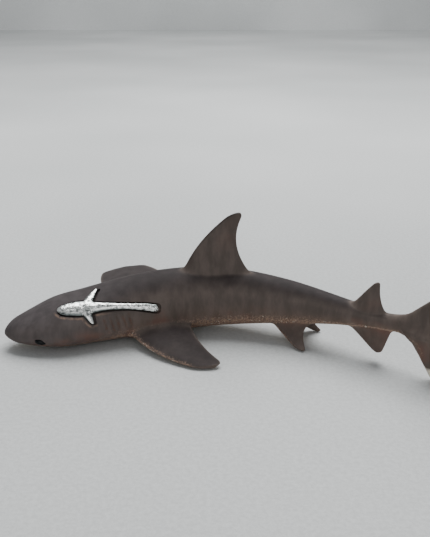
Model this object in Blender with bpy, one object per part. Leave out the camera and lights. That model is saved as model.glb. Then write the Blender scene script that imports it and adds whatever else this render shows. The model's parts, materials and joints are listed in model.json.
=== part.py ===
"""Shark figurine with a silver inlay on its near flank.

The figure is one moulding: a body lofted along a curved spine, fins lofted
from rounded aerofoil sections, eye domes, gill slits, nostrils and a mouth
line. A dart-shaped relief of bright metal sits in a shallow pocket of its
own outline, with a narrow gap all round.

Metres, +Z up. The head points to -X and the left flank faces -Y. The origin
lies under the middle of the bounding box, on the surface the shark rests on.
"""
import math

import bmesh
import bpy
import numpy as np
from mathutils import Matrix, Vector

# Spine: heading and height where the four guide points lie
SPINE_START = 0.0
SPINE_FRONT = 0.0437
SPINE_MIDDLE = 0.0875
SPINE_TAIL = 0.1310
HEADING_START = 10.7
HEADING_FRONT = 15.7
HEADING_MIDDLE = -24.9
HEADING_TAIL = -43.5
LIFT_START = 0.0057
LIFT_FRONT = 0.0105
LIFT_MIDDLE = 0.0129
LIFT_TAIL = 0.0152
BODY_ROLL = 5.4

# Body sections: distance from the snout, height above the spine, depth below it, half width
NOSE_ROUND = 0.0042
SNOUT_HEIGHT = 0.0023
SNOUT_DEPTH = 0.0019
SNOUT_HALF_WIDTH = 0.0036
BROW_AT = 0.0088
BROW_HEIGHT = 0.0051
BROW_DEPTH = 0.0045
BROW_HALF_WIDTH = 0.0082
JAW_AT = 0.0158
JAW_HEIGHT = 0.0072
JAW_DEPTH = 0.0062
JAW_HALF_WIDTH = 0.0105
GILL_AT = 0.0270
GILL_HEIGHT = 0.0085
GILL_DEPTH_BELOW = 0.0078
GILL_HALF_WIDTH = 0.0104
CHEST_AT = 0.0470
CHEST_HEIGHT = 0.0101
CHEST_DEPTH = 0.0100
CHEST_HALF_WIDTH = 0.0097
BACK_AT = 0.0700
BACK_HEIGHT = 0.0097
BACK_DEPTH = 0.0094
BACK_HALF_WIDTH = 0.0082
HIP_AT = 0.0900
HIP_HEIGHT = 0.0073
HIP_DEPTH = 0.0072
HIP_HALF_WIDTH = 0.0062
REAR_AT = 0.1120
REAR_HEIGHT = 0.0039
REAR_DEPTH = 0.0039
REAR_HALF_WIDTH = 0.0034
STALK_AT = 0.1290
STALK_HEIGHT = 0.0023
STALK_DEPTH = 0.0023
STALK_HALF_WIDTH = 0.0020
BODY_END = 0.1370
FIRST_RING = 0.0002
RING_CROWD = 1.35
BODY_RINGS = 46
BODY_SIDES = 32

# First dorsal fin
DORSAL_AT = 0.0578
DORSAL_BASE = 0.0201
DORSAL_HEIGHT = 0.0188
DORSAL_SWEEP = 0.0162
DORSAL_LEAD_BOW = 0.0024
DORSAL_TRAIL_BOW = 0.0030
DORSAL_TIP = 0.0038
DORSAL_THICKNESS = 0.0032

# Second dorsal fin
REAR_DORSAL_AT = 0.1138
REAR_DORSAL_BASE = 0.0086
REAR_DORSAL_HEIGHT = 0.0083
REAR_DORSAL_SWEEP = 0.0068
REAR_DORSAL_LEAD_BOW = 0.0005
REAR_DORSAL_TRAIL_BOW = 0.0004
REAR_DORSAL_TIP = 0.0014
REAR_DORSAL_THICKNESS = 0.0020

# Anal fin
ANAL_AT = 0.1124
ANAL_BASE = 0.0122
ANAL_HEIGHT = 0.0073
ANAL_SWEEP = 0.0072
ANAL_LEAD_BOW = 0.0004
ANAL_TRAIL_BOW = -0.0002
ANAL_TIP = 0.0022
ANAL_THICKNESS = 0.0020

# Tail fin: the upper lobe rises from the stalk, the lower one drops
UPPER_LOBE_AT = 0.1290
UPPER_LOBE_RISE = 44.0
UPPER_LOBE_BASE = 0.0094
UPPER_LOBE_LENGTH = 0.0430
UPPER_LOBE_SWEEP = 0.0052
UPPER_LOBE_LEAD_BOW = 0.0012
UPPER_LOBE_TRAIL_BOW = 0.0036
UPPER_LOBE_TIP = 0.0046
UPPER_LOBE_THICKNESS = 0.0026
LOWER_LOBE_AT = 0.1310
LOWER_LOBE_BASE = 0.0125
LOWER_LOBE_HEIGHT = 0.0121
LOWER_LOBE_SWEEP = 0.0078
LOWER_LOBE_LEAD_BOW = 0.0001
LOWER_LOBE_TRAIL_BOW = 0.0022
LOWER_LOBE_TIP = 0.0030
LOWER_LOBE_THICKNESS = 0.0024

# Pectoral fins
PECTORAL_AT = 0.0378
PECTORAL_ROUND = -32.0
PECTORAL_BASE = 0.0184
PECTORAL_SPAN = 0.0240
PECTORAL_SWEEP = 0.0148
PECTORAL_LEAD_BOW = 0.0030
PECTORAL_TRAIL_BOW = 0.0018
PECTORAL_TIP = 0.0072
PECTORAL_THICKNESS = 0.0034
NEAR_PECTORAL_RISE = -4.0
NEAR_PECTORAL_DROOP = 0.0004
NEAR_PECTORAL_TURN = 0.0
FAR_PECTORAL_BASE = 0.0225
FAR_PECTORAL_SPAN = 0.0248
FAR_PECTORAL_SWEEP = 0.0042
FAR_PECTORAL_LEAD_BOW = 0.0048
FAR_PECTORAL_TIP = 0.0112
FAR_PECTORAL_RISE = 24.0
FAR_PECTORAL_DROOP = 0.0098
FAR_PECTORAL_TURN = 12.0

# Pelvic fins
PELVIC_AT = 0.0878
PELVIC_ROUND = -57.0
PELVIC_BASE = 0.0090
PELVIC_SPAN = 0.0077
PELVIC_SWEEP = 0.0091
PELVIC_LEAD_BOW = 0.0006
PELVIC_TRAIL_BOW = 0.0004
PELVIC_TIP = 0.0026
PELVIC_THICKNESS = 0.0018
NEAR_PELVIC_RISE = -42.0
FAR_PELVIC_RISE = -63.0

# Every fin: how deep its root is sunk, its fillet, its edges, its facets
FIN_SINK = 0.0030
FIN_FLARE = 0.0030
FIN_FLARE_REACH = 0.0016
FIN_FLARE_SWELL = 1.408
FIN_EDGE = 0.0010
FIN_FULLEST_PERCENT = 85.0
FIN_BLUNT_PERCENT = 30.0
TIP_SHARE_PERCENT = 16.0
TIP_CLOSE_PERCENT = 98.5
TIP_TRAIL_PERCENT = 12.0
STATION_CROWD = 1.25
FIN_STATIONS = 13
FIN_SIDES = 16

# Eyes
EYE_AT = 0.0104
EYE_ROUND = -9.0
EYE_LENGTH = 0.0032
EYE_HEIGHT = 0.0023
EYE_PROUD = 0.0005
EYE_BALL = 0.0012

# Gill slits
GILL_SLIT_AT = 0.0298
GILL_COUNT = 5
GILL_PITCH = 0.0019
GILL_TOP_ROUND = 22.0
GILL_BOTTOM_ROUND = -14.0
GILL_LEAN = 0.0008
GILL_WIDTH = 0.0007
GILL_DEPTH = 0.0006

# Mouth and nostrils
MOUTH_FRONT_AT = 0.0090
MOUTH_REACH = 0.0080
MOUTH_SPREAD = 40.0
MOUTH_WIDTH = 0.0008
MOUTH_DEPTH = 0.0006
NOSTRIL_AT = 0.0050
NOSTRIL_ROUND = -55.0
NOSTRIL_LENGTH = 0.0012
NOSTRIL_WIDTH = 0.0006

# Silver inlay: where it lies on the flank, its outline, its relief and its pocket
INLAY_NOSE_AT = 0.0170
INLAY_NOSE_ROUND = 63.5
INLAY_SLANT = 15.6
INLAY_LENGTH = 0.0312
INLAY_NOSE_WIDTH = 0.0029
INLAY_HEAD_AT = 0.0062
INLAY_HEAD_WIDTH = 0.0048
INLAY_NECK_AT = 0.0135
INLAY_NECK_WIDTH = 0.0026
INLAY_STEM_AT = 0.0206
INLAY_STEM_WIDTH = 0.0019
INLAY_KNOB_BACK = 0.0028
INLAY_KNOB_WIDTH = 0.0025
INLAY_TIP_ROUND = 0.0022
INLAY_KNOB_ROUND = 0.0012
INLAY_BOW = 0.0004
INLAY_WING_AT = 0.0061
INLAY_WING_BASE = 0.0042
INLAY_UPPER_SWEEP = 0.0046
INLAY_LOWER_SWEEP = 0.0042
INLAY_WING_TIP = 0.0010
INLAY_UPPER_REACH = 0.0067
INLAY_LOWER_REACH = 0.0052
INLAY_PROUD = 0.0009
POCKET_DEPTH = 0.0010
WING_POCKET_DEPTH = 0.0008
POCKET_GAP = 0.0003

GROOVE_SIDES = 8
GROOVE_STATIONS = 9
GROOVE_END_PERCENT = 25.0
INLAY_SIDES = 13
INLAY_STATIONS = 34
INLAY_FIRST_RING = 0.00005
WING_STATIONS = 8
WING_CURVE = 1.2
WING_DROP_PERCENT = 35.0
INLAY_END_TOP_PERCENT = 35.0
POCKET_OPEN = 0.0030
REST_TRIES = 4
CLOSE = 0.000003


def ease(knots, values, where):
    """Cubic curve through the knots, with slopes taken from their neighbours."""
    knots = np.asarray(knots, float)
    values = np.asarray(values, float)
    slopes = np.gradient(values, knots)
    where = np.asarray(where, float)
    cell = np.clip(np.searchsorted(knots, where) - 1, 0, len(knots) - 2)
    width = knots[cell + 1] - knots[cell]
    t = np.clip((where - knots[cell]) / width, 0.0, 1.0)
    start = values[cell] * (2 * t**3 - 3 * t**2 + 1) + slopes[cell] * width * (t**3 - 2 * t**2 + t)
    end = values[cell + 1] * (3 * t**2 - 2 * t**3) + slopes[cell + 1] * width * (t**3 - t**2)
    return start + end


SPINE_KNOTS = (SPINE_START, SPINE_FRONT, SPINE_MIDDLE, SPINE_TAIL)
SPINE_STEP = 0.0005


def spine_table():
    """Walk along the spine in small steps; the walk goes past the stalk in a straight line."""
    reach = BODY_END + UPPER_LOBE_LENGTH
    along = np.arange(-FIN_SINK, reach, SPINE_STEP)
    heading = np.radians(ease(SPINE_KNOTS, (HEADING_START, HEADING_FRONT, HEADING_MIDDLE, HEADING_TAIL), along))
    lift = ease(SPINE_KNOTS, (LIFT_START, LIFT_FRONT, LIFT_MIDDLE, LIFT_TAIL), along)
    centre = np.zeros((len(along), 3))
    centre[1:, 0] = np.cumsum(np.cos(heading[:-1])) * SPINE_STEP
    centre[1:, 1] = np.cumsum(np.sin(heading[:-1])) * SPINE_STEP
    start = np.array([np.interp(0.0, along, centre[:, 0]), np.interp(0.0, along, centre[:, 1])])
    centre[:, :2] -= start
    centre[:, 2] = lift
    return along, centre


SPINE_ALONG, SPINE_CENTRE = spine_table()


def spine(along):
    """Centre, backward, near-side and up vectors of the spine at each distance from the snout."""
    along = np.asarray(along, float)

    def point(at):
        return np.stack([np.interp(at, SPINE_ALONG, SPINE_CENTRE[:, k]) for k in range(3)], -1)

    step = 2 * SPINE_STEP
    centre = point(along)
    back = point(along + step) - point(along - step)
    back /= np.linalg.norm(back, axis=-1, keepdims=True)
    near = np.cross(back, (0.0, 0.0, 1.0))
    near /= np.linalg.norm(near, axis=-1, keepdims=True)
    up = np.cross(near, back)
    roll = math.radians(BODY_ROLL)
    rolled_near = near * math.cos(roll) - up * math.sin(roll)
    rolled_up = up * math.cos(roll) + near * math.sin(roll)
    return centre, back, rolled_near, rolled_up


SECTION_AT = (0.0, BROW_AT, JAW_AT, GILL_AT, CHEST_AT, BACK_AT, HIP_AT, REAR_AT, STALK_AT, BODY_END)
SECTION_HEIGHTS = (SNOUT_HEIGHT, BROW_HEIGHT, JAW_HEIGHT, GILL_HEIGHT, CHEST_HEIGHT,
                   BACK_HEIGHT, HIP_HEIGHT, REAR_HEIGHT, STALK_HEIGHT, STALK_HEIGHT)
SECTION_DEPTHS = (SNOUT_DEPTH, BROW_DEPTH, JAW_DEPTH, GILL_DEPTH_BELOW, CHEST_DEPTH, BACK_DEPTH, HIP_DEPTH, REAR_DEPTH,
                  STALK_DEPTH, STALK_DEPTH)
SECTION_WIDTHS = (SNOUT_HALF_WIDTH, BROW_HALF_WIDTH, JAW_HALF_WIDTH, GILL_HALF_WIDTH, CHEST_HALF_WIDTH,
                  BACK_HALF_WIDTH, HIP_HALF_WIDTH, REAR_HALF_WIDTH, STALK_HALF_WIDTH, STALK_HALF_WIDTH)


def body_sizes(along):
    """Height above the spine, depth below it and half width, rounded off to nothing at the snout."""
    along = np.asarray(along, float)
    nose = np.clip(along / NOSE_ROUND, 0.0, 1.0)
    rounding = np.sqrt(1.0 - (1.0 - nose) ** 2)
    return [ease(SECTION_AT, sizes, along) * rounding for sizes in (SECTION_HEIGHTS, SECTION_DEPTHS, SECTION_WIDTHS)]


def skin(along, turn):
    """Point of the body's skin; turn is 0 on the near flank, a quarter turn on the back."""
    centre, back, near, up = spine(along)
    high, deep, wide = body_sizes(along)
    turn = np.asarray(turn, float)
    level = np.where(np.sin(turn) > 0, high, deep) * np.sin(turn)
    return centre + near * (wide * np.cos(turn))[..., None] + up * level[..., None]


def off_skin(along, turn, height):
    """Point above or below the skin, measured along its normal."""
    small_step = 0.0002
    small_turn = 0.02
    base = skin(along, turn)
    lengthwise = skin(along + small_step, turn) - skin(along - small_step, turn)
    around = skin(along, turn + small_turn) - skin(along, turn - small_turn)
    normal = np.cross(around, lengthwise)
    normal /= np.linalg.norm(normal, axis=-1, keepdims=True)
    outward = np.sum(normal * (base - spine(along)[0]), axis=-1, keepdims=True)
    return base + normal * np.sign(outward) * np.asarray(height, float)[..., None]


def loft(name, rings):
    """Closed mesh through a stack of rings with equal point counts, capped at both ends."""
    rings = np.asarray(rings, float)
    count, sides = rings.shape[:2]
    mesh = bpy.data.meshes.new(name)
    bm = bmesh.new()
    rows = [[bm.verts.new(Vector(p)) for p in ring] for ring in rings]
    for low, high in zip(rows, rows[1:]):
        for k in range(sides):
            n = (k + 1) % sides
            bm.faces.new((low[k], low[n], high[n], high[k]))
    bm.faces.new(rows[0][::-1])
    bm.faces.new(rows[-1])
    bmesh.ops.remove_doubles(bm, verts=bm.verts, dist=CLOSE)
    bmesh.ops.recalc_face_normals(bm, faces=bm.faces)
    bm.to_mesh(mesh)
    bm.free()
    return bpy.data.objects.new(name, mesh)


def make_collection(name):
    """New collection, linked to the scene."""
    collection = bpy.data.collections.new(name)
    bpy.context.scene.collection.children.link(collection)
    return collection


def make_material(name, colour, metallic, roughness):
    """Principled material in one plain colour."""
    material = bpy.data.materials.new(name)
    material.use_nodes = True
    shader = material.node_tree.nodes["Principled BSDF"]
    shader.inputs["Base Color"].default_value = (*colour, 1.0)
    shader.inputs["Metallic"].default_value = metallic
    shader.inputs["Roughness"].default_value = roughness
    material.diffuse_color = (*colour, 1.0)
    return material


def boolean(target, tool, operation):
    """Join a tool to the target or cut it out, and apply the result."""
    bpy.context.scene.collection.objects.link(tool)
    modifier = target.modifiers.new(tool.name, "BOOLEAN")
    modifier.object = tool
    modifier.operation = operation
    modifier.solver = "EXACT"
    bpy.context.view_layer.update()
    depsgraph = bpy.context.evaluated_depsgraph_get()
    result = bpy.data.meshes.new_from_object(target.evaluated_get(depsgraph))
    target.modifiers.clear()
    old = target.data
    target.data = result
    bpy.data.meshes.remove(old)
    bpy.context.scene.collection.objects.unlink(tool)


def fin_outline(u, base, sweep, lead_bow, trail_bow, tip):
    """Leading and trailing edge at each share u of the span, rounded off at the tip."""
    lead = sweep * u - 4 * lead_bow * u * (1 - u)
    trail = base + (sweep + tip - base) * u - 4 * trail_bow * u * (1 - u)
    tip_share = TIP_SHARE_PERCENT / 100
    past = np.clip((u - (1 - tip_share)) / tip_share, 0.0, 1.0)
    rounding = np.sqrt(1.0 - TIP_CLOSE_PERCENT / 100 * past**2)
    middle = lead + (trail - lead) * (0.5 + TIP_TRAIL_PERCENT / 100 * past)
    return middle + (lead - middle) * rounding, middle + (trail - middle) * rounding


def fin_rings(place, size):
    """Rings of a fin: egg-shaped sections from the sunk root to the rounded tip."""
    base, span, sweep, lead_bow, trail_bow, tip, thickness = size
    share = np.linspace(0.0, 1.0, FIN_STATIONS)
    u = np.sin(share * math.pi / 2) ** STATION_CROWD
    out = -FIN_SINK + (span + FIN_SINK) * u
    held = np.clip(out / span, 0.0, 1.0)
    lead, trail = fin_outline(held, base, sweep, lead_bow, trail_bow, tip)
    flare = FIN_FLARE * np.exp(-np.maximum(out + 0.5 * FIN_SINK, 0.0) / FIN_FLARE_REACH)
    lead = lead - flare
    trail = trail + flare
    chord = trail - lead
    thick = thickness + (FIN_EDGE - thickness) * held + FIN_FLARE_SWELL * flare * thickness / DORSAL_THICKNESS
    thick = np.minimum(thick, FIN_FULLEST_PERCENT / 100 * chord)
    angle = np.linspace(0.0, 2 * math.pi, FIN_SIDES, endpoint=False)
    along = lead[:, None] + chord[:, None] * (1 - np.cos(angle)) / 2
    side = thick[:, None] / 2 * np.sin(angle) * (1 + FIN_BLUNT_PERCENT / 100 * np.cos(angle))
    level = np.repeat(out[:, None], FIN_SIDES, axis=1)
    return place(along, level, side)


def upright_fin(at, direction):
    """Placing rule of a fin in the body's middle plane; direction is 1 above and -1 below."""
    def place(along, out, side):
        centre, back, near, up = spine(at + along)
        level = 0 if direction > 0 else 1
        high = body_sizes(np.minimum(at + along, STALK_AT))[level]
        edge = body_sizes(np.full(along.shape, at))[level]
        seat = np.where(out > 0, edge + (high - edge) * np.exp(-out / FIN_SINK), high)
        return centre + up * (direction * (seat + out))[..., None] + near * side[..., None]
    return place


def side_fin(at, turn, rise, droop, hand, turn_forward=0.0, span=1.0):
    """Placing rule of a paired fin; hand is 1 on the near side and -1 on the far side."""
    centre, back, near, up = (v[0] for v in spine(np.array([at])))
    high, deep, wide = (v[0] for v in body_sizes(np.array([at])))
    angle = math.radians(turn)
    root = centre + near * hand * wide * math.cos(angle) + up * deep * math.sin(angle)
    outward = near * hand * math.cos(math.radians(rise)) + up * math.sin(math.radians(rise))
    upward = up * math.cos(math.radians(rise)) - near * hand * math.sin(math.radians(rise))
    forward = math.radians(turn_forward)

    def place(along, out, side):
        ahead = out * math.tan(forward) * np.clip(out / span, 0.0, 1.0)
        bend = droop * np.clip(out / span, 0.0, 1.0) ** 2
        return (root + back * (along - ahead)[..., None] + outward * out[..., None]
                + upward * (side - bend)[..., None])
    return place


def raised_fin(at, rise):
    """Placing rule of the tail's upper lobe, whose span runs back and up from the stalk."""
    centre, back, near, up = (v[0] for v in spine(np.array([at])))
    high = body_sizes(np.array([at]))[0][0]
    angle = math.radians(rise)
    span_way = back * math.cos(angle) + up * math.sin(angle)
    chord_way = back * math.sin(angle) - up * math.cos(angle)
    root = centre + up * high

    def place(along, out, side):
        return root + chord_way * along[..., None] + span_way * out[..., None] + near * side[..., None]
    return place


def build_body():
    """Loft of the body along its spine."""
    share = np.linspace(0.0, 1.0, BODY_RINGS)
    along = FIRST_RING + (BODY_END - FIRST_RING) * share**RING_CROWD
    turn = np.linspace(0.0, 2 * math.pi, BODY_SIDES, endpoint=False)
    grid_along, grid_turn = np.meshgrid(along, turn, indexing="ij")
    return loft("shark_body", skin(grid_along, grid_turn))


def build_fins():
    """All eight fins and the tail's two lobes, each a loft of its own."""
    dorsal = (DORSAL_BASE, DORSAL_HEIGHT, DORSAL_SWEEP, DORSAL_LEAD_BOW, DORSAL_TRAIL_BOW, DORSAL_TIP,
              DORSAL_THICKNESS)
    rear_dorsal = (REAR_DORSAL_BASE, REAR_DORSAL_HEIGHT, REAR_DORSAL_SWEEP, REAR_DORSAL_LEAD_BOW,
                   REAR_DORSAL_TRAIL_BOW, REAR_DORSAL_TIP, REAR_DORSAL_THICKNESS)
    anal = (ANAL_BASE, ANAL_HEIGHT, ANAL_SWEEP, ANAL_LEAD_BOW, ANAL_TRAIL_BOW, ANAL_TIP, ANAL_THICKNESS)
    upper = (UPPER_LOBE_BASE, UPPER_LOBE_LENGTH, UPPER_LOBE_SWEEP, UPPER_LOBE_LEAD_BOW, UPPER_LOBE_TRAIL_BOW,
             UPPER_LOBE_TIP, UPPER_LOBE_THICKNESS)
    lower = (LOWER_LOBE_BASE, LOWER_LOBE_HEIGHT, LOWER_LOBE_SWEEP, LOWER_LOBE_LEAD_BOW, LOWER_LOBE_TRAIL_BOW,
             LOWER_LOBE_TIP, LOWER_LOBE_THICKNESS)
    pectoral = (PECTORAL_BASE, PECTORAL_SPAN, PECTORAL_SWEEP, PECTORAL_LEAD_BOW, PECTORAL_TRAIL_BOW,
                PECTORAL_TIP, PECTORAL_THICKNESS)
    bent_pectoral = (FAR_PECTORAL_BASE, FAR_PECTORAL_SPAN, FAR_PECTORAL_SWEEP, FAR_PECTORAL_LEAD_BOW,
                     PECTORAL_TRAIL_BOW, FAR_PECTORAL_TIP, PECTORAL_THICKNESS)
    pelvic = (PELVIC_BASE, PELVIC_SPAN, PELVIC_SWEEP, PELVIC_LEAD_BOW, PELVIC_TRAIL_BOW, PELVIC_TIP,
              PELVIC_THICKNESS)
    near_pectoral = side_fin(PECTORAL_AT, PECTORAL_ROUND, NEAR_PECTORAL_RISE, NEAR_PECTORAL_DROOP, 1,
                             NEAR_PECTORAL_TURN, PECTORAL_SPAN)
    far_pectoral = side_fin(PECTORAL_AT, PECTORAL_ROUND, FAR_PECTORAL_RISE, FAR_PECTORAL_DROOP, -1,
                            FAR_PECTORAL_TURN, FAR_PECTORAL_SPAN)
    near_pelvic = side_fin(PELVIC_AT, PELVIC_ROUND, NEAR_PELVIC_RISE, 0.0, 1)
    far_pelvic = side_fin(PELVIC_AT, PELVIC_ROUND, FAR_PELVIC_RISE, 0.0, -1)
    return [
        loft("dorsal_fin", fin_rings(upright_fin(DORSAL_AT, 1), dorsal)),
        loft("rear_dorsal_fin", fin_rings(upright_fin(REAR_DORSAL_AT, 1), rear_dorsal)),
        loft("anal_fin", fin_rings(upright_fin(ANAL_AT, -1), anal)),
        loft("upper_lobe", fin_rings(raised_fin(UPPER_LOBE_AT, UPPER_LOBE_RISE), upper)),
        loft("lower_lobe", fin_rings(upright_fin(LOWER_LOBE_AT, -1), lower)),
        loft("near_pectoral", fin_rings(near_pectoral, pectoral)),
        loft("far_pectoral", fin_rings(far_pectoral, bent_pectoral)),
        loft("near_pelvic", fin_rings(near_pelvic, pelvic)),
        loft("far_pelvic", fin_rings(far_pelvic, pelvic)),
    ]


def groove(name, along, turn, width, depth):
    """Cutter that follows a path on the skin: a flat ellipse swept along it, thin at both ends."""
    centre = skin(along, turn)
    normal = off_skin(along, turn, np.ones(len(along))) - centre
    path = np.gradient(centre, axis=0)
    path /= np.linalg.norm(path, axis=1, keepdims=True)
    side = np.cross(path, normal)
    share = np.linspace(-1.0, 1.0, len(along))
    taper = np.maximum(np.sqrt(1.0 - share**2), GROOVE_END_PERCENT / 100)
    angle = np.linspace(0.0, 2 * math.pi, GROOVE_SIDES, endpoint=False)
    wide = (taper * width / 2)[:, None] * np.cos(angle)
    high = (taper * depth)[:, None] * np.sin(angle)
    return loft(name, centre[:, None] + side[:, None] * wide[..., None] + normal[:, None] * high[..., None])


def gill_slits():
    """Cutters of the gill slits, the same row on both flanks."""
    cutters = []
    share = np.linspace(0.0, 1.0, GROOVE_STATIONS)
    round_by = np.radians(GILL_TOP_ROUND + (GILL_BOTTOM_ROUND - GILL_TOP_ROUND) * share)
    for number in range(GILL_COUNT):
        along = GILL_SLIT_AT + number * GILL_PITCH + GILL_LEAN * (share - 0.5)
        for side, turn in (("near", round_by), ("far", math.pi - round_by)):
            cutters.append(groove(f"gill_{side}_{number + 1}", along, turn, GILL_WIDTH, GILL_DEPTH))
    return cutters


def mouth_line():
    """Cutter of the mouth: a crescent under the head, its corners further back than its front."""
    share = np.linspace(-1.0, 1.0, 2 * GROOVE_STATIONS)
    along = MOUTH_FRONT_AT + MOUTH_REACH * share**2
    turn = np.radians(-90.0 + MOUTH_SPREAD * np.sin(share * math.pi / 2))
    return groove("mouth_line", along, turn, MOUTH_WIDTH, MOUTH_DEPTH)


def bead(name, at, round_by, half_sizes, sink):
    """Ellipsoid set into the skin: half sizes along the body, round it and through the skin."""
    along = np.array([at, at + SPINE_STEP])
    turn = np.radians([round_by, round_by])
    base = skin(along, turn)
    normal = (off_skin(along, turn, np.ones(2)) - base)[0]
    ahead = base[1] - base[0]
    ahead -= normal * (ahead @ normal)
    ahead /= np.linalg.norm(ahead)
    across = np.cross(normal, ahead)
    centre = base[0] - normal * sink
    mesh = bpy.data.meshes.new(name)
    bm = bmesh.new()
    bmesh.ops.create_uvsphere(bm, u_segments=20, v_segments=12, radius=1.0)
    axes = np.stack([ahead * half_sizes[0], across * half_sizes[1], normal * half_sizes[2]], axis=1)
    frame = Matrix.Translation(Vector(centre)) @ Matrix(axes.tolist()).to_4x4()
    bm.transform(frame)
    bmesh.ops.recalc_face_normals(bm, faces=bm.faces)
    bm.to_mesh(mesh)
    bm.free()
    return bpy.data.objects.new(name, mesh)


def eyes():
    """A low dome on each side of the head."""
    half = (EYE_LENGTH / 2, EYE_HEIGHT / 2, EYE_BALL)
    sink = EYE_BALL - EYE_PROUD
    return [bead("near_eye", EYE_AT, EYE_ROUND, half, sink), bead("far_eye", EYE_AT, 180.0 - EYE_ROUND, half, sink)]


def nostrils():
    """A small oval hollow on each side under the snout."""
    half = (NOSTRIL_LENGTH / 2, NOSTRIL_WIDTH / 2, NOSTRIL_WIDTH / 2)
    return [bead("near_nostril", NOSTRIL_AT, NOSTRIL_ROUND, half, 0.0),
            bead("far_nostril", NOSTRIL_AT, 180.0 - NOSTRIL_ROUND, half, 0.0)]


def on_flank(run, across, height):
    """Point at a distance along the inlay's axis and across it, at a height over the skin."""
    slant = math.radians(INLAY_SLANT)
    across = across + 4 * INLAY_BOW * (run / INLAY_LENGTH) * (1 - run / INLAY_LENGTH)
    along = INLAY_NOSE_AT + run * math.cos(slant) + across * math.sin(slant)
    girth = across * math.cos(slant) - run * math.sin(slant)
    high, deep, wide = body_sizes(along)
    turn = math.radians(INLAY_NOSE_ROUND) + girth / np.sqrt(high * wide)
    return off_skin(along, turn, height)


def domed_section(half, floor, top):
    """Across and height of one ring: a flat floor, upright sides and a domed top."""
    arc = np.linspace(0.0, math.pi, INLAY_SIDES - 2)
    across = np.concatenate([[-half, half], half * np.cos(arc)])
    height = np.concatenate([[floor, floor], top * np.sin(arc)])
    return across, height


def inlay_spindle(name, grow, floor, top):
    """Head, stem and knob of the dart in one loft; grow widens the outline all round."""
    knots = (0.0, INLAY_HEAD_AT, INLAY_NECK_AT, INLAY_STEM_AT, INLAY_LENGTH - INLAY_KNOB_BACK, INLAY_LENGTH)
    widths = (INLAY_NOSE_WIDTH, INLAY_HEAD_WIDTH, INLAY_NECK_WIDTH, INLAY_STEM_WIDTH, INLAY_KNOB_WIDTH,
              INLAY_KNOB_WIDTH)
    share = (1 - np.cos(np.linspace(0.0, math.pi, INLAY_STATIONS))) / 2
    run = INLAY_FIRST_RING + (INLAY_LENGTH - 2 * INLAY_FIRST_RING) * share
    half = ease(knots, widths, run) / 2
    nose = np.clip(run / INLAY_TIP_ROUND, 0.0, 1.0)
    knob = np.clip((INLAY_LENGTH - run) / INLAY_KNOB_ROUND, 0.0, 1.0)
    rounding = np.sqrt(1 - (1 - nose) ** 2) * np.sqrt(1 - (1 - knob) ** 2)
    half = half * rounding + grow
    run = run + grow * (2 * share - 1)
    end_top = INLAY_END_TOP_PERCENT / 100
    rings = []
    for at, width, fade in zip(run, half, rounding):
        across, height = domed_section(width, floor, top * (end_top + (1 - end_top) * fade))
        rings.append(on_flank(np.full(len(across), at), across, height))
    return loft(name, rings)


def inlay_wing(name, hand, reach, sweep, grow, floor, top):
    """One swept wing of the dart, lofted from its root inside the head to its narrow tip."""
    share = np.linspace(0.0, 1.0, WING_STATIONS)
    out = share * (reach + grow)
    lead = INLAY_WING_AT + sweep * share**WING_CURVE
    chord = INLAY_WING_BASE + (INLAY_WING_TIP - INLAY_WING_BASE) * share
    rings = []
    for at, front, width in zip(out, lead, chord):
        across, height = domed_section(width / 2 + grow, floor, top * (1 - WING_DROP_PERCENT / 100 * at / reach))
        rings.append(on_flank(front + width / 2 + across, np.full(len(across), hand * at), height))
    return loft(name, rings)


def dart(name, collection, grow, lift, top):
    """The dart as one solid: the metal itself, or its pocket's cutter, grown all round by the gap."""
    spindle = inlay_spindle(name, grow, lift - POCKET_DEPTH, top)
    collection.objects.link(spindle)
    for side, hand, reach, sweep in (("upper", 1, INLAY_UPPER_REACH, INLAY_UPPER_SWEEP),
                                     ("lower", -1, INLAY_LOWER_REACH, INLAY_LOWER_SWEEP)):
        wing = inlay_wing(f"{name}_{side}_wing", hand, reach, sweep, grow, lift - WING_POCKET_DEPTH, top)
        boolean(spindle, wing, "UNION")
    return spindle


def tidy_mesh(obj):
    """Merge what the Booleans left double, in triangles."""
    bm = bmesh.new()
    bm.from_mesh(obj.data)
    bmesh.ops.remove_doubles(bm, verts=bm.verts, dist=CLOSE)
    bmesh.ops.dissolve_degenerate(bm, edges=bm.edges, dist=CLOSE)
    bmesh.ops.triangulate(bm, faces=bm.faces)
    bm.to_mesh(obj.data)
    bm.free()


def centre_of_mass(mesh):
    """Volume centre of a closed mesh, from tetrahedra on its triangles."""
    mesh.calc_loop_triangles()
    corners = np.array([[mesh.vertices[i].co for i in tri.vertices] for tri in mesh.loop_triangles])
    volume = np.einsum("ij,ij->i", corners[:, 0], np.cross(corners[:, 1], corners[:, 2])) / 6
    return Vector((corners.sum(axis=1) / 4 * volume[:, None]).sum(axis=0) / volume.sum())


def resting_turn(mesh):
    """Turn that lays the mesh on the hull face below its centre of mass."""
    middle = centre_of_mass(mesh)
    turn = Matrix.Identity(4)
    bm = bmesh.new()
    bm.from_mesh(mesh)
    hull = bmesh.ops.convex_hull(bm, input=bm.verts, use_existing_faces=False)
    faces = [f for f in hull["geom"] if isinstance(f, bmesh.types.BMFace)]
    for face in faces:
        face.normal_update()
        corners = [v.co for v in face.verts]
        if abs(face.normal.z) > 0.5 and face.calc_center_median().z < middle.z and over(corners, middle):
            way = face.normal if face.normal.z < 0 else -face.normal
            turn = way.rotation_difference(Vector((0, 0, -1))).to_matrix().to_4x4()
    bm.free()
    return turn


def over(corners, point):
    """True where the point lies over the triangle, seen from above."""
    signs = []
    for a, b in zip(corners, corners[1:] + corners[:1]):
        signs.append((b.x - a.x) * (point.y - a.y) - (b.y - a.y) * (point.x - a.x) > 0)
    return all(signs) or not any(signs)


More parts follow.
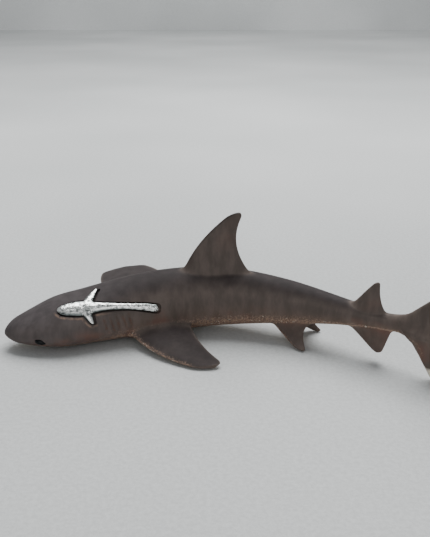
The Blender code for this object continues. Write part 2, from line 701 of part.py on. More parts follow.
def rest_on_surface(body, others):
    """Lay the figure down as it comes to rest, with the origin under the middle of its box."""
    objects = [body] + others
    for _ in range(REST_TRIES):
        turn = resting_turn(body.data)
        for obj in objects:
            obj.data.transform(turn)
    points = np.array([v.co for obj in objects for v in obj.data.vertices])
    low, high = points.min(axis=0), points.max(axis=0)
    shift = Matrix.Translation((-(low[0] + high[0]) / 2, -(low[1] + high[1]) / 2, -low[2]))
    for obj in objects:
        obj.data.transform(shift)


def clear_scene():
    """Remove every object that the new file starts with."""
    for obj in list(bpy.data.objects):
        bpy.data.objects.remove(obj, do_unlink=True)


def main():
    clear_scene()
    parts = make_collection("shark_figurine")
    cutters = make_collection("cutters")
    pvc = make_material("moulded_pvc", (0.072, 0.062, 0.058), 0.0, 0.55)
    metal = make_material("bright_metal", (0.80, 0.81, 0.80), 1.0, 0.28)

    body = build_body()
    parts.objects.link(body)
    for piece in build_fins() + eyes():
        boolean(body, piece, "UNION")
    for cutter in gill_slits() + [mouth_line()] + nostrils():
        boolean(body, cutter, "DIFFERENCE")
    pocket = dart("pocket", cutters, POCKET_GAP, 0.0, POCKET_OPEN)
    cutters.objects.unlink(pocket)
    boolean(body, pocket, "DIFFERENCE")
    cutters.objects.link(pocket)
    pocket.hide_render = True
    pocket.display_type = "WIRE"
    inlay = dart("silver_inlay", parts, 0.0, POCKET_GAP, INLAY_PROUD)

    for obj, material in ((body, pvc), (inlay, metal)):
        obj.data.materials.clear()
        obj.data.materials.append(material)
        tidy_mesh(obj)
    rest_on_surface(body, [inlay])
    for obj in (body, inlay):
        obj.data.shade_smooth()
        obj.data.set_sharp_from_angle(angle=math.radians(40))


main()
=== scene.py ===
"""Shark figurine: moulded and painted PVC with a hammered silver inlay, on a pale studio floor.

The skin is worked out again at fine pitch from the same spine, sections and
fins as the frame's solid, and takes its place. Metres, +Z up, at rest.
"""

import json
import math

import bpy
import numpy as np
from bpy.props import FloatProperty, FloatVectorProperty, IntProperty, PointerProperty, StringProperty
from mathutils import Matrix, Vector

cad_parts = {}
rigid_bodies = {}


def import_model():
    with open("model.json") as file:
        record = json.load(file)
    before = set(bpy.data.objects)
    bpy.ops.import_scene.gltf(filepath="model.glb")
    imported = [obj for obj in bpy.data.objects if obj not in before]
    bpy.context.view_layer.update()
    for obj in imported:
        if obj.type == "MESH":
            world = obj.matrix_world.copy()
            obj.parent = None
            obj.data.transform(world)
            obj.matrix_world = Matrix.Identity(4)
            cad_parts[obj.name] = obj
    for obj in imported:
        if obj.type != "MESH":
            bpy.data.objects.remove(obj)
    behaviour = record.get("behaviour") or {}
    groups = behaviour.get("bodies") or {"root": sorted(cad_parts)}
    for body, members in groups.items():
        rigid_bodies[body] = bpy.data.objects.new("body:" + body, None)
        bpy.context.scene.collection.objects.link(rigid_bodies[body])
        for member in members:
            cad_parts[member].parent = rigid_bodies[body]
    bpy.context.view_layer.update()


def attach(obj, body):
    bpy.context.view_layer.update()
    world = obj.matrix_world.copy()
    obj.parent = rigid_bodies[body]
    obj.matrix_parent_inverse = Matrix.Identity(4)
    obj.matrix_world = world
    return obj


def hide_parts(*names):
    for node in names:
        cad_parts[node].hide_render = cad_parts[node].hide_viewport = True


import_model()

bl_info = {
    "name": "Shark figurine",
    "version": (1, 0, 0),
    "blender": (4, 5, 0),
    "location": "View3D > Sidebar > Shark",
    "description": "A moulded PVC shark with a hammered silver inlay on a pale studio floor",
    "category": "Object",
}

WHITE = "#ffffff"


# Sizes and colours that a user would change.

def length(name, description, default):
    """A length in metres."""
    return FloatProperty(name=name, description=description, default=default, unit="LENGTH", precision=4)


def angle(name, description, degrees):
    """An angle, given here in degrees."""
    return FloatProperty(name=name, description=description, default=math.radians(degrees), unit="ROTATION")


def knots(name, description, defaults, unit="LENGTH"):
    """A row of values along the body, one for each knot."""
    return FloatVectorProperty(name=name, description=description, default=defaults, size=len(defaults),
                               unit=unit, precision=4)


def watts(name, description, default):
    """A lamp's power in watts."""
    return FloatProperty(name=name, description=description, default=default, unit="POWER")


def shade(name, description, code):
    """A colour as an sRGB hex code."""
    return StringProperty(name=name, description=description, default=code)


def group(kind, name):
    """A group of settings."""
    return PointerProperty(type=kind, name=name, description=f"Settings of the {name.lower()}")


class BodySizes(bpy.types.PropertyGroup):
    spine_at: knots("Spine knots", "Distance of the spine's knots from the snout",
                    (0.0, 0.0437, 0.0875, 0.1310))
    heading: knots("Heading", "Direction of the spine at its knots, seen from above",
                   tuple(math.radians(a) for a in (10.7, 15.7, -24.9, -43.5)), "ROTATION")
    lift: knots("Lift", "Height of the spine at its knots", (0.0057, 0.0105, 0.0129, 0.0152))
    roll: angle("Roll", "Lean of the whole figure towards its near side", 5.4)
    nose_round: length("Nose rounding", "Length over which the snout closes", 0.0042)
    section_at: knots("Section places", "Distance of the body's sections from the snout",
                      (0.0, 0.0088, 0.0158, 0.0270, 0.0470, 0.0700, 0.0900, 0.1120, 0.1290, 0.1370))
    heights: knots("Heights", "Height of each section above the spine",
                   (0.0023, 0.0051, 0.0072, 0.0085, 0.0101, 0.0097, 0.0073, 0.0039, 0.0023, 0.0023))
    depths: knots("Depths", "Depth of each section below the spine",
                  (0.0019, 0.0045, 0.0062, 0.0078, 0.0100, 0.0094, 0.0072, 0.0039, 0.0023, 0.0023))
    half_widths: knots("Half widths", "Half width of each section",
                       (0.0036, 0.0082, 0.0105, 0.0104, 0.0097, 0.0082, 0.0062, 0.0034, 0.0020, 0.0020))
    end: length("Body end", "Where the body ends inside the tail fin", 0.1370)
    tilt_x: angle("Settling about X", "Turn about X that lays the figure on the floor", -0.0815)
    tilt_y: angle("Settling about Y", "Turn about Y that lays the figure on the floor", 0.0975)


STANCES = {
    "around": ("Place round the body", "where its root lies round the body"),
    "rise": ("Rise", "how steeply it rises outwards"),
    "turn": ("Turn", "how far its tip is turned forward"),
}


def fin_group(title, at, base, span, sweep, lead_bow, trail_bow, tip, thickness, droop=None, **stance):
    """Property group of one fin, with that fin's own defaults; the angles of its stance are in degrees."""
    fields = {
        "at": length("Place", f"{title}: where its root starts along the body", at),
        "base": length("Base", f"{title}: length of its root", base),
        "span": length("Span", f"{title}: how far it stands out", span),
        "sweep": length("Sweep", f"{title}: how far its tip lies behind its root", sweep),
        "lead_bow": length("Front bow", f"{title}: bow of the leading edge", lead_bow),
        "trail_bow": length("Rear bow", f"{title}: hollow of the trailing edge", trail_bow),
        "tip": length("Tip", f"{title}: width of its tip", tip),
        "thickness": length("Thickness", f"{title}: thickness at its root", thickness),
    }
    if droop is not None:
        fields["droop"] = length("Droop", f"{title}: how far its tip hangs down", droop)
    for key, degrees in stance.items():
        label, description = STANCES[key]
        fields[key] = angle(label, f"{title}: {description}", degrees)
    name = title.title().replace(" ", "") + "Sizes"
    return type(name, (bpy.types.PropertyGroup,), {"__annotations__": fields})


FIN_GROUPS = {
    "dorsal": fin_group(
        "dorsal fin", at=0.0578, base=0.0201, span=0.0188, sweep=0.0162, lead_bow=0.0024, trail_bow=0.0030,
        tip=0.0038, thickness=0.0032),
    "rear_dorsal": fin_group(
        "rear dorsal fin", at=0.1138, base=0.0086, span=0.0083, sweep=0.0068, lead_bow=0.0005, trail_bow=0.0004,
        tip=0.0014, thickness=0.0020),
    "anal": fin_group(
        "anal fin", at=0.1124, base=0.0122, span=0.0073, sweep=0.0072, lead_bow=0.0004, trail_bow=-0.0002,
        tip=0.0022, thickness=0.0020),
    "upper_lobe": fin_group(
        "upper tail lobe", at=0.1290, base=0.0094, span=0.0430, sweep=0.0052, lead_bow=0.0012, trail_bow=0.0036,
        tip=0.0046, thickness=0.0026, rise=44.0),
    "lower_lobe": fin_group(
        "lower tail lobe", at=0.1310, base=0.0125, span=0.0121, sweep=0.0078, lead_bow=0.0001, trail_bow=0.0022,
        tip=0.0030, thickness=0.0024),
    "near_pectoral": fin_group(
        "near pectoral fin", at=0.0378, base=0.0184, span=0.0240, sweep=0.0148, lead_bow=0.0030,
        trail_bow=0.0018, tip=0.0072, thickness=0.0034, droop=0.0004, around=-32.0, rise=-4.0, turn=0.0),
    "far_pectoral": fin_group(
        "far pectoral fin", at=0.0378, base=0.0225, span=0.0248, sweep=0.0042, lead_bow=0.0048,
        trail_bow=0.0006, tip=0.0136, thickness=0.0034, droop=0.0098, around=-32.0, rise=24.0, turn=12.0),
    "near_pelvic": fin_group(
        "near pelvic fin", at=0.0878, base=0.0090, span=0.0077, sweep=0.0091, lead_bow=0.0006, trail_bow=0.0004,
        tip=0.0026, thickness=0.0018, droop=0.0, around=-57.0, rise=-42.0, turn=0.0),
    "far_pelvic": fin_group(
        "far pelvic fin", at=0.0878, base=0.0090, span=0.0077, sweep=0.0091, lead_bow=0.0006, trail_bow=0.0004,
        tip=0.0026, thickness=0.0018, droop=0.0, around=-57.0, rise=-63.0, turn=0.0),
}


class DetailSizes(bpy.types.PropertyGroup):
    gill_at: length("First gill slit", "Distance of the first gill slit from the snout", 0.0298)
    gill_count: IntProperty(name="Gill slits", description="Slits on each flank", default=5, min=1)
    gill_pitch: length("Gill pitch", "Distance between slits", 0.0019)
    gill_top: angle("Gill tops", "Where the slits start round the flank", 22.0)
    gill_bottom: angle("Gill ends", "Where the slits end round the flank", -14.0)
    gill_lean: length("Gill lean", "How far each slit leans back from its top to its end", 0.0008)
    mouth_at: length("Mouth front", "Distance of the mouth's front from the snout", 0.0090)
    mouth_reach: length("Mouth reach", "How far its corners lie behind its front", 0.0080)
    mouth_spread: angle("Mouth spread", "How far it runs round each side of the head", 40.0)
    nostril_at: length("Nostrils", "Distance of the nostrils from the snout", 0.0050)
    nostril_around: angle("Nostrils round", "Where the nostrils lie round the head", -55.0)
    eye_at: length("Eye place", "Distance of the eyes from the snout", 0.0104)
    eye_around: angle("Eye round", "Where the eyes lie round the head", -9.0)
    eye_length: length("Eye length", "Length of the eye", 0.0036)
    eye_height: length("Eye height", "Height of the eye", 0.0020)
    eye_proud: length("Eye dome", "How far the eye stands out", 0.0006)
    eye_dip: angle("Eye dip", "How far the eye's long axis dips at its rear", 16.0)


class InlaySizes(bpy.types.PropertyGroup):
    nose_at: length("Nose place", "Distance of the inlay's nose from the snout", 0.0170)
    nose_around: angle("Nose round", "Where the inlay's nose lies round the flank", 63.5)
    slant: angle("Slant", "How far the inlay's axis falls along the flank", 15.6)
    reach: length("Length", "Length of the inlay", 0.0312)
    knots_at: knots("Outline places", "Places of the outline's widths",
                    (0.0, 0.0062, 0.0135, 0.0206, 0.0284, 0.0312))
    widths: knots("Widths", "Width of nose, head, neck, stem, knob and end",
                  (0.0029, 0.0048, 0.0026, 0.0019, 0.0025, 0.0025))
    tip_round: length("Nose rounding", "Length over which the nose closes", 0.0022)
    knob_round: length("Knob rounding", "Length over which the knob closes", 0.0012)
    bow: length("Bow", "Upward bow of the axis", 0.0004)
    wing_at: length("Wing place", "Where the wings leave the head", 0.0061)
    wing_base: length("Wing base", "Width of a wing at its root", 0.0042)
    wing_tip: length("Wing tip", "Width of a wing at its tip", 0.0010)
    upper_reach: length("Upper wing", "Reach of the upper wing", 0.0067)
    upper_sweep: length("Upper sweep", "Sweep of the upper wing", 0.0046)
    lower_reach: length("Lower wing", "Reach of the lower wing", 0.0052)
    lower_sweep: length("Lower sweep", "Sweep of the lower wing", 0.0042)
    proud: length("Relief", "How far the metal stands out of the skin", 0.0009)
    pocket: length("Pocket", "Depth of the pocket", 0.0010)
    gap: length("Gap", "Gap round the metal", 0.0004)
    gap_shift: length("Gap shift", "How far the pocket lies further back than the metal", 0.0004)
    lumps: length("Hammering", "Height of the hammer marks", 0.00011)
    lump_size: length("Hammer marks", "Size of one hammer mark", 0.0008)


class Colours(bpy.types.PropertyGroup):
    back: shade("Back", "Dark grey of the back", "#302a2a")
    head: shade("Head", "Purplish grey of the head's sides", "#544f50")
    flank: shade("Flank", "Grey brown of the flank", "#605651")
    low_flank: shade("Lower flank", "Reddish brown above the belly line", "#706057")
    stipple: shade("Stipple", "Tan spatter along the belly line and the fins' front edges", "#a78a76")
    belly: shade("Belly", "Pale underside", "#b9a48c")
    cream: shade("Lobe tip", "Cream tip of the lower tail lobe", "#d8cfc0")
    eye: shade("Eye", "Gloss black of the eye", "#07080b")
    # A painted reflection at the eye's rim, not the enamel's own colour.
    eye_rim_reflection: shade("Eye rim", "Blue cast at the eye's rim", "#10151d")
    metal: shade("Metal", "Polished silver", "#f6f7f4")
    # Also paints the darker reflection on the metal's sides.
    tarnish: shade("Tarnish", "Grey in the hollows of the hammering", "#6b706f")
    pit: shade("Pits", "Dark grey of the pits", "#3f4443")
    red: shade("Red patches", "Reddish patches on the flank", "#684f47")
    # The wash colour also paints the shade in the slits, mouth and nostrils.
    wash: shade("Wash", "Brown wash in the slits", "#67483a")
    stroke: shade("Strokes", "How dark the spray's strokes make the paint", "#dadada")
    floor: shade("Floor", "Pale paper floor", "#c3c5c5")
    wall: shade("Backdrop", "Backdrop behind the floor", "#dcdede")
    felt: shade("Felt", "How dark the grain makes the paper", "#efefef")
    # Painted shade on the paper, in broad patches.
    wave: shade("Waves", "How dark the broad waves make the paper", "#e9eaea")
    room: shade("Room", "Even light of the room", "#eef1f3")


class StageSettings(bpy.types.PropertyGroup):
    eye_point: FloatVectorProperty(name="Camera", description="Place of the camera", size=3, unit="LENGTH",
                                   precision=5, default=(-0.00643, -0.21223, 0.10589))
    look: FloatVectorProperty(name="View direction", description="Direction the camera looks in", size=3,
                              subtype="DIRECTION", precision=5, default=(-0.0006, 0.93479, -0.3552))
    lens: FloatProperty(name="Focal length", description="Focal length for a 36 mm wide frame", default=62.79,
                        unit="CAMERA")
    floor_end: length("Floor length", "How far the floor runs behind the figure", 1.70)
    front_power: watts("Front lamp", "Power of the soft lamp by the camera", 2.7)
    rear_power: watts("Rear lamp", "Power of the lamp over the backdrop", 7.0)
    overhead_power: watts("Overhead lamp", "Power of the overhead lamp", 9.0)
    fill_power: FloatProperty(name="Room light", description="Strength of the even room light", default=0.43)


class SharkSettings(bpy.types.PropertyGroup):
    body: group(BodySizes, "Body")
    detail: group(DetailSizes, "Details")
    inlay: group(InlaySizes, "Inlay")
    colours: group(Colours, "Colours")
    stage: group(StageSettings, "Stage")
    dorsal: group(FIN_GROUPS["dorsal"], "Dorsal fin")
    rear_dorsal: group(FIN_GROUPS["rear_dorsal"], "Rear dorsal fin")
    anal: group(FIN_GROUPS["anal"], "Anal fin")
    upper_lobe: group(FIN_GROUPS["upper_lobe"], "Upper tail lobe")
    lower_lobe: group(FIN_GROUPS["lower_lobe"], "Lower tail lobe")
    near_pectoral: group(FIN_GROUPS["near_pectoral"], "Near pectoral fin")
    far_pectoral: group(FIN_GROUPS["far_pectoral"], "Far pectoral fin")
    near_pelvic: group(FIN_GROUPS["near_pelvic"], "Near pelvic fin")
    far_pelvic: group(FIN_GROUPS["far_pelvic"], "Far pelvic fin")


# Curves and surfaces.

def ease(knot_at, values, where):
    """Cubic through the knots: each knot's slope is a weighted mean of those on its two sides."""
    knot_at = np.asarray(knot_at, float)
    values = np.asarray(values, float)
    slopes = np.gradient(values, knot_at)
    where = np.asarray(where, float)
    cell = np.clip(np.searchsorted(knot_at, where) - 1, 0, len(knot_at) - 2)
    width = knot_at[cell + 1] - knot_at[cell]
    t = np.clip((where - knot_at[cell]) / width, 0.0, 1.0)
    start = values[cell] * (2 * t**3 - 3 * t**2 + 1) + slopes[cell] * width * (t**3 - 2 * t**2 + t)
    finish = values[cell + 1] * (3 * t**2 - 2 * t**3) + slopes[cell + 1] * width * (t**3 - t**2)
    return start + finish


def step_up(value, low, high):
    """Smooth step: 0 below low, 1 above high, 3t squared less 2t cubed between."""
    t = np.clip((value - low) / (high - low), 0.0, 1.0)
    return t * t * (3 - 2 * t)


def bump(value, width):
    """Bell curve: e to the minus value over width squared."""
    return np.exp(-(value / width) ** 2)


class Form:
    """The shark's curved axis and its skin, worked out from the sizes.

    The axis is a running sum of short steps in the heading's direction, at the
    height that the lift's curve gives.
    """

    # Pitch of the axis's table, and how far the fins' roots lie under the skin.
    STEP = 0.0005
    SINK = 0.0030
    # Small steps along and round the body, across which the skin's direction is found.
    STEP_ALONG = 0.0002
    STEP_ROUND = 0.02
    # Points of a mesh that are located at a time.
    BLOCK = 20000

    def __init__(self, settings):
        self.settings = settings
        body = settings.body
        self.along = np.arange(-self.SINK, body.end + settings.upper_lobe.span, self.STEP)
        heading = ease(body.spine_at, body.heading, self.along)
        centre = np.zeros((len(self.along), 3))
        centre[1:, 0] = np.cumsum(np.cos(heading[:-1])) * self.STEP
        centre[1:, 1] = np.cumsum(np.sin(heading[:-1])) * self.STEP
        start = [np.interp(0.0, self.along, centre[:, k]) for k in (0, 1)]
        centre[:, :2] -= start
        centre[:, 2] = ease(body.spine_at, body.lift, self.along)
        self.centre = centre

    def point(self, at):
        """Point of the axis, straight between its table's points."""
        return np.stack([np.interp(at, self.along, self.centre[:, k]) for k in range(3)], -1)

    def axes(self, at):
        """Centre, backward, near-side and upward vectors at each distance from the snout.

        Backward is the step between two nearby points of the axis, near-side its
        cross product with straight up. The body's roll then leans them over.
        """
        at = np.asarray(at, float)
        step = 2 * self.STEP
        back = self.point(at + step) - self.point(at - step)
        back /= np.linalg.norm(back, axis=-1, keepdims=True)
        near = np.cross(back, (0.0, 0.0, 1.0))
        near /= np.linalg.norm(near, axis=-1, keepdims=True)
        up = np.cross(near, back)
        roll = self.settings.body.roll
        return (self.point(at), back, near * math.cos(roll) - up * math.sin(roll),
                up * math.cos(roll) + near * math.sin(roll))

    def section(self, at):
        """Height, depth and half width of the body, rounded off by a quarter circle at the snout."""
        body = self.settings.body
        at = np.asarray(at, float)
        nose = np.clip(at / body.nose_round, 0.0, 1.0)
        rounding = np.sqrt(1.0 - (1.0 - nose) ** 2)
        rows = (body.heights, body.depths, body.half_widths)
        return [ease(body.section_at, row, at) * rounding for row in rows]

    def skin(self, at, turn):
        """Point of the skin: an ellipse round the axis, taller above it than below."""
        centre, _, near, up = self.axes(at)
        high, deep, wide = self.section(at)
        turn = np.asarray(turn, float)
        level = np.where(np.sin(turn) > 0, high, deep) * np.sin(turn)
        return centre + near * (wide * np.cos(turn))[..., None] + up * level[..., None]

    def normal(self, at, turn):
        """Outward direction: cross product of the steps round the body and along it."""
        lengthwise = self.skin(at + self.STEP_ALONG, turn) - self.skin(at - self.STEP_ALONG, turn)
        around = self.skin(at, turn + self.STEP_ROUND) - self.skin(at, turn - self.STEP_ROUND)
        normal = np.cross(around, lengthwise)
        normal /= np.maximum(np.linalg.norm(normal, axis=-1, keepdims=True), 1e-12)
        outward = np.sum(normal * (self.skin(at, turn) - self.axes(at)[0]), axis=-1, keepdims=True)
        return normal * np.where(outward < 0, -1.0, 1.0)

    def off_skin(self, at, turn, height):
        """Point at a height over the skin, measured along its normal."""
        return self.skin(at, turn) + self.normal(at, turn) * np.asarray(height, float)[..., None]

    def locate(self, points):
        """Distance along and turn round the body of each point, found from the nearest point of the axis."""
        body = self.settings.body
        table = np.arange(0.0, body.end, 2 * self.STEP)
        centre = self.point(table)
        nearest = np.empty(len(points), int)
        for start in range(0, len(points), self.BLOCK):
            gap = points[start:start + self.BLOCK, None] - centre[None]
            nearest[start:start + self.BLOCK] = np.einsum("ijk,ijk->ij", gap, gap).argmin(1)
        at = table[nearest]
        middle, back, _, _ = self.axes(at)
        at = np.clip(at + np.einsum("ij,ij->i", points - middle, back), 0.0, body.end)
        middle, _, near, up = self.axes(at)
        high, deep, wide = self.section(np.maximum(at, self.STEP_ALONG))
        sideways = np.einsum("ij,ij->i", points - middle, near) / wide
        level = np.einsum("ij,ij->i", points - middle, up)
        level = level / np.where(level > 0, high, deep)
        return at, np.arctan2(level, sideways)


def grid_mesh(name, rings):
    """Closed surface through a stack of rings.

    Quads join each ring to the next, and a fan round a middle point closes
    each end. All faces are turned round where they enclose less than nothing.
    """
    count, sides = rings.shape[:2]
    points = np.concatenate([rings.reshape(-1, 3), [rings[0].mean(0)], [rings[-1].mean(0)]])
    row = np.arange(count * sides).reshape(count, sides)
    turned = np.roll(row, -1, axis=1)
    quads = np.stack([row[:-1], turned[:-1], turned[1:], row[1:]], -1).reshape(-1, 4)
    first, last = count * sides, count * sides + 1
    ends = np.concatenate([
        np.stack([np.full(sides, first), turned[0], row[0]], -1),
        np.stack([np.full(sides, last), row[-1], turned[-1]], -1)])
    volume = np.einsum("ij,ij->i", points[quads[:, 0]] - points[0], np.cross(
        points[quads[:, 1]] - points[0], points[quads[:, 2]] - points[0])).sum()
    if volume < 0:
        quads, ends = quads[:, ::-1], ends[:, ::-1]
    mesh = bpy.data.meshes.new(name)
    mesh.from_pydata(points.tolist(), [], quads.tolist() + ends.tolist())
    mesh.update()
    return bpy.data.objects.new(name, mesh)


def set_values(mesh, name, values):
    """Store one value for each vertex."""
    if name in mesh.attributes:
        mesh.attributes.remove(mesh.attributes[name])
    kept = mesh.attributes.new(name, "FLOAT", "POINT")
    kept.data.foreach_set("value", np.ascontiguousarray(values, np.float32))


def get_values(mesh, name):
    """Read one value for each vertex, 0 where the mesh has none."""
    values = np.zeros(len(mesh.vertices), np.float32)
    if name in mesh.attributes:
        mesh.attributes[name].data.foreach_get("value", values)
    return values.astype(float)


def get_points(mesh):
    """Places of the mesh's vertices."""
    points = np.empty(len(mesh.vertices) * 3)
    mesh.vertices.foreach_get("co", points)
    return points.reshape(-1, 3)


def set_points(mesh, points):
    """Move the mesh's vertices."""
    mesh.vertices.foreach_set("co", points.ravel())
    mesh.update()


def get_normals(mesh):
    """Directions of the mesh's vertices."""
    normals = np.empty(len(mesh.vertices) * 3, np.float32)
    mesh.vertex_normals.foreach_get("vector", normals)
    return normals.reshape(-1, 3).astype(float)


def get_edges(mesh):
    """Vertex numbers of the mesh's edges."""
    edges = np.empty(len(mesh.edges) * 2, np.int32)
    mesh.edges.foreach_get("vertices", edges)
    return edges.reshape(-1, 2)


def combine(target, tools, operation):
    """Join tools to the target or cut them out, one Boolean modifier each, and keep the result."""
    linked = bpy.context.scene.collection.objects
    linked.link(target)
    for tool in tools:
        linked.link(tool)
        modifier = target.modifiers.new(tool.name, "BOOLEAN")
        modifier.object = tool
        modifier.operation = operation
        modifier.solver = "MANIFOLD"
    bpy.context.view_layer.update()
    depsgraph = bpy.context.evaluated_depsgraph_get()
    result = bpy.data.meshes.new_from_object(target.evaluated_get(depsgraph))
    target.modifiers.clear()
    linked.unlink(target)
    old = target.data
    target.data = result
    bpy.data.meshes.remove(old)
    for tool in tools:
        mesh = tool.data
        bpy.data.objects.remove(tool, do_unlink=True)
        bpy.data.meshes.remove(mesh)


def neighbour_mean(edges, values):
    """Sum of the values at each vertex's neighbours over their number."""
    total = np.zeros_like(values)
    count = np.bincount(edges.ravel(), minlength=len(values)).astype(float)
    for a, b in ((0, 1), (1, 0)):
        for k in range(values.shape[1]):
            total[:, k] += np.bincount(edges[:, a], weights=values[edges[:, b], k], minlength=len(values))
    return total / np.maximum(count, 1.0)[:, None]


# Numbers without a common pattern, which mix a corner's place and a seed into one number and then a value.
MIX_X, MIX_Y, MIX_Z, MIX_SEED = 73856093, 19349663, 83492791, 2654435
MIX_RANGE, MIX_TURN, MIX_SPREAD = 10007, 12.9898, 43758.5453


def lumps(points, size, seed):
    """Value noise from -1 to 1: random values on a cubic lattice, smoothly blended between its corners.

    A corner's value is the fraction of a large multiple of a sine.
    """
    cell = points / size
    base = np.floor(cell).astype(int)
    part = cell - base
    blend = part * part * (3 - 2 * part)
    total = np.zeros(len(points))
    for corner in np.ndindex(2, 2, 2):
        place = base + corner
        mixed = place[:, 0] * MIX_X ^ place[:, 1] * MIX_Y ^ place[:, 2] * MIX_Z ^ seed * MIX_SEED
        value = np.sin(mixed % MIX_RANGE * MIX_TURN) * MIX_SPREAD
        value -= np.floor(value)
        share = np.prod(np.where(corner, blend, 1 - blend), axis=1)
        total += (2 * value - 1) * share
    return total


# The skin: body, fins and lobes.

# The body's rings: where the snout and the gill slits' stretch end, each stretch's pitch, and points a ring.
SNOUT_END, GILLS_FROM, GILLS_TO = 0.004, 0.027, 0.0405
HEAD_PITCH, GILL_RING_PITCH, BODY_PITCH = 0.0003, 0.00018, 0.0006
SNOUT_RINGS, BODY_SIDES = 16, 168

# Depths and half widths of the marks that sink into the skin: metres, but radians for the nostril's turn, and
# shares of the eye's half size for the ring round it.
# The slits' and the mouth's wash widths also spread their painted shade.
SLIT_DEPTH, SLIT_WIDTH, SLIT_WASH_AND_SHADE = 0.00030, 0.00026, 0.00042
RIDGE_HEIGHT, RIDGE_WIDTH, RIDGE_BEHIND = 0.00010, 0.0004, 0.0006
NOSTRIL_DEPTH, NOSTRIL_WIDTH, NOSTRIL_TURN = 0.00040, 0.0007, 0.10
SOCKET_DEPTH, SOCKET_AT, SOCKET_WIDTH = 0.00016, 1.15, 0.25
MOUTH_DEPTH, MOUTH_WIDTH, MOUTH_WASH_AND_SHADE = 0.00045, 0.00035, 0.0004
# The head's radius at the eyes, and the length over which the body closes inside the tail fin.
EYE_GIRTH = 0.0065
TAIL_CLOSE = 0.012


def body_stations(end):
    """Places of the body's rings: crowded into the snout by a power of 1.6, then even, closest at the gills."""
    snout = SNOUT_END * np.linspace(0.02, 1.0, SNOUT_RINGS) ** 1.6
    head = np.arange(SNOUT_END, GILLS_FROM, HEAD_PITCH)
    gills = np.arange(GILLS_FROM, GILLS_TO, GILL_RING_PITCH)
    rest = np.arange(GILLS_TO, end, BODY_PITCH)
    return np.concatenate([snout[:-1], head, gills, rest, [end]])


def flank_marks(detail, at, flank):
    """Sink, and wash with painted shade, of one flank's marks, each a bell curve of the distance from its
    middle line.

    A gill slit fades towards its ends as half an ellipse does and has a low
    ridge behind it. A nostril is round, and the eye's socket is a ring.
    """
    sink = np.zeros(at.shape)
    wash = np.zeros(at.shape)
    share = (flank - detail.gill_top) / (detail.gill_bottom - detail.gill_top)
    taper = np.sqrt(np.clip(1 - (2 * share - 1) ** 2, 0.0, 1.0))
    for number in range(detail.gill_count):
        past = at - (detail.gill_at + number * detail.gill_pitch + detail.gill_lean * (share - 0.5))
        sink += SLIT_DEPTH * taper * bump(past, SLIT_WIDTH)
        sink -= RIDGE_HEIGHT * taper * bump(past - RIDGE_BEHIND, RIDGE_WIDTH)
        wash = np.maximum(wash, taper * bump(past, SLIT_WASH_AND_SHADE))
    nostril = bump(np.hypot((at - detail.nostril_at) / NOSTRIL_WIDTH,
                            (flank - detail.nostril_around) / NOSTRIL_TURN), 1.0)
    ahead = (at - detail.eye_at) / (detail.eye_length / 2)
    above = (flank - detail.eye_around) * EYE_GIRTH / (detail.eye_height / 2)
    socket = bump(np.hypot(ahead, above) - SOCKET_AT, SOCKET_WIDTH)
    return sink + NOSTRIL_DEPTH * nostril + SOCKET_DEPTH * socket, np.maximum(wash, nostril)


def mouth_mark(detail, at, turn):
    """Sink, and wash with painted shade, of the mouth: a bell curve across a crescent under the head.

    The crescent falls back with the square of the arcsine of its place round
    the head, so its corners point back along the body.
    """
    under = (turn + math.pi / 2) / detail.mouth_spread
    share = np.arcsin(np.clip(under, -1.0, 1.0)) * 2 / math.pi
    past = at - (detail.mouth_at + detail.mouth_reach * share**2)
    inside = np.abs(under) < 1.0
    return MOUTH_DEPTH * bump(past, MOUTH_WIDTH) * inside, bump(past, MOUTH_WASH_AND_SHADE) * inside


def body_object(form):
    """Loft of the body: rings of the skin, sunk along its normals at the marks.

    Inside the tail fin the rings shrink as a quarter of an ellipse does.
    """
    body, detail = form.settings.body, form.settings.detail
    around = np.linspace(0, 2 * math.pi, BODY_SIDES, endpoint=False)
    at, turn = np.meshgrid(body_stations(body.end), around, indexing="ij")
    turn = np.where(turn > math.pi * 1.5, turn - 2 * math.pi, turn)
    marks = [flank_marks(detail, at, flank) for flank in (turn, math.pi - turn)]
    marks.append(mouth_mark(detail, at, turn))
    sink = sum(mark[0] for mark in marks)
    wash = np.maximum.reduce([mark[1] for mark in marks])
    last = np.clip((at - (body.end - TAIL_CLOSE)) / TAIL_CLOSE, 0.0, 1.0)
    centre = form.axes(at)[0]
    points = form.off_skin(at, turn, -sink)
    points = centre + (points - centre) * np.sqrt(1 - 0.97 * last**2)[..., None]
    obj = grid_mesh("shark_skin", points)
    for name in ("fin", "front_edge", "tip_share"):
        set_values(obj.data, name, np.zeros(len(obj.data.vertices)))
    set_values(obj.data, "slit", np.append(wash.ravel(), [0.0, 0.0]))
    return obj


# What all fins share: rings and points a ring, where along the span the tip's rounding starts, the tip's
# thickness, reach and fade of the flare at the root, how much thicker it makes the root, how much fuller
# the front half of a section is, and how far the front edge's spatter reaches back.
FIN_RINGS, FIN_SIDES = 52, 64
TIP_FROM = 0.90
TIP_THICKNESS = 0.0010
FLARE, FLARE_FADE, ROOT_SWELL = 0.0030, 0.0016, 1.32
FRONT_FULLNESS = 0.30
FRONT_SPATTER = 0.0016


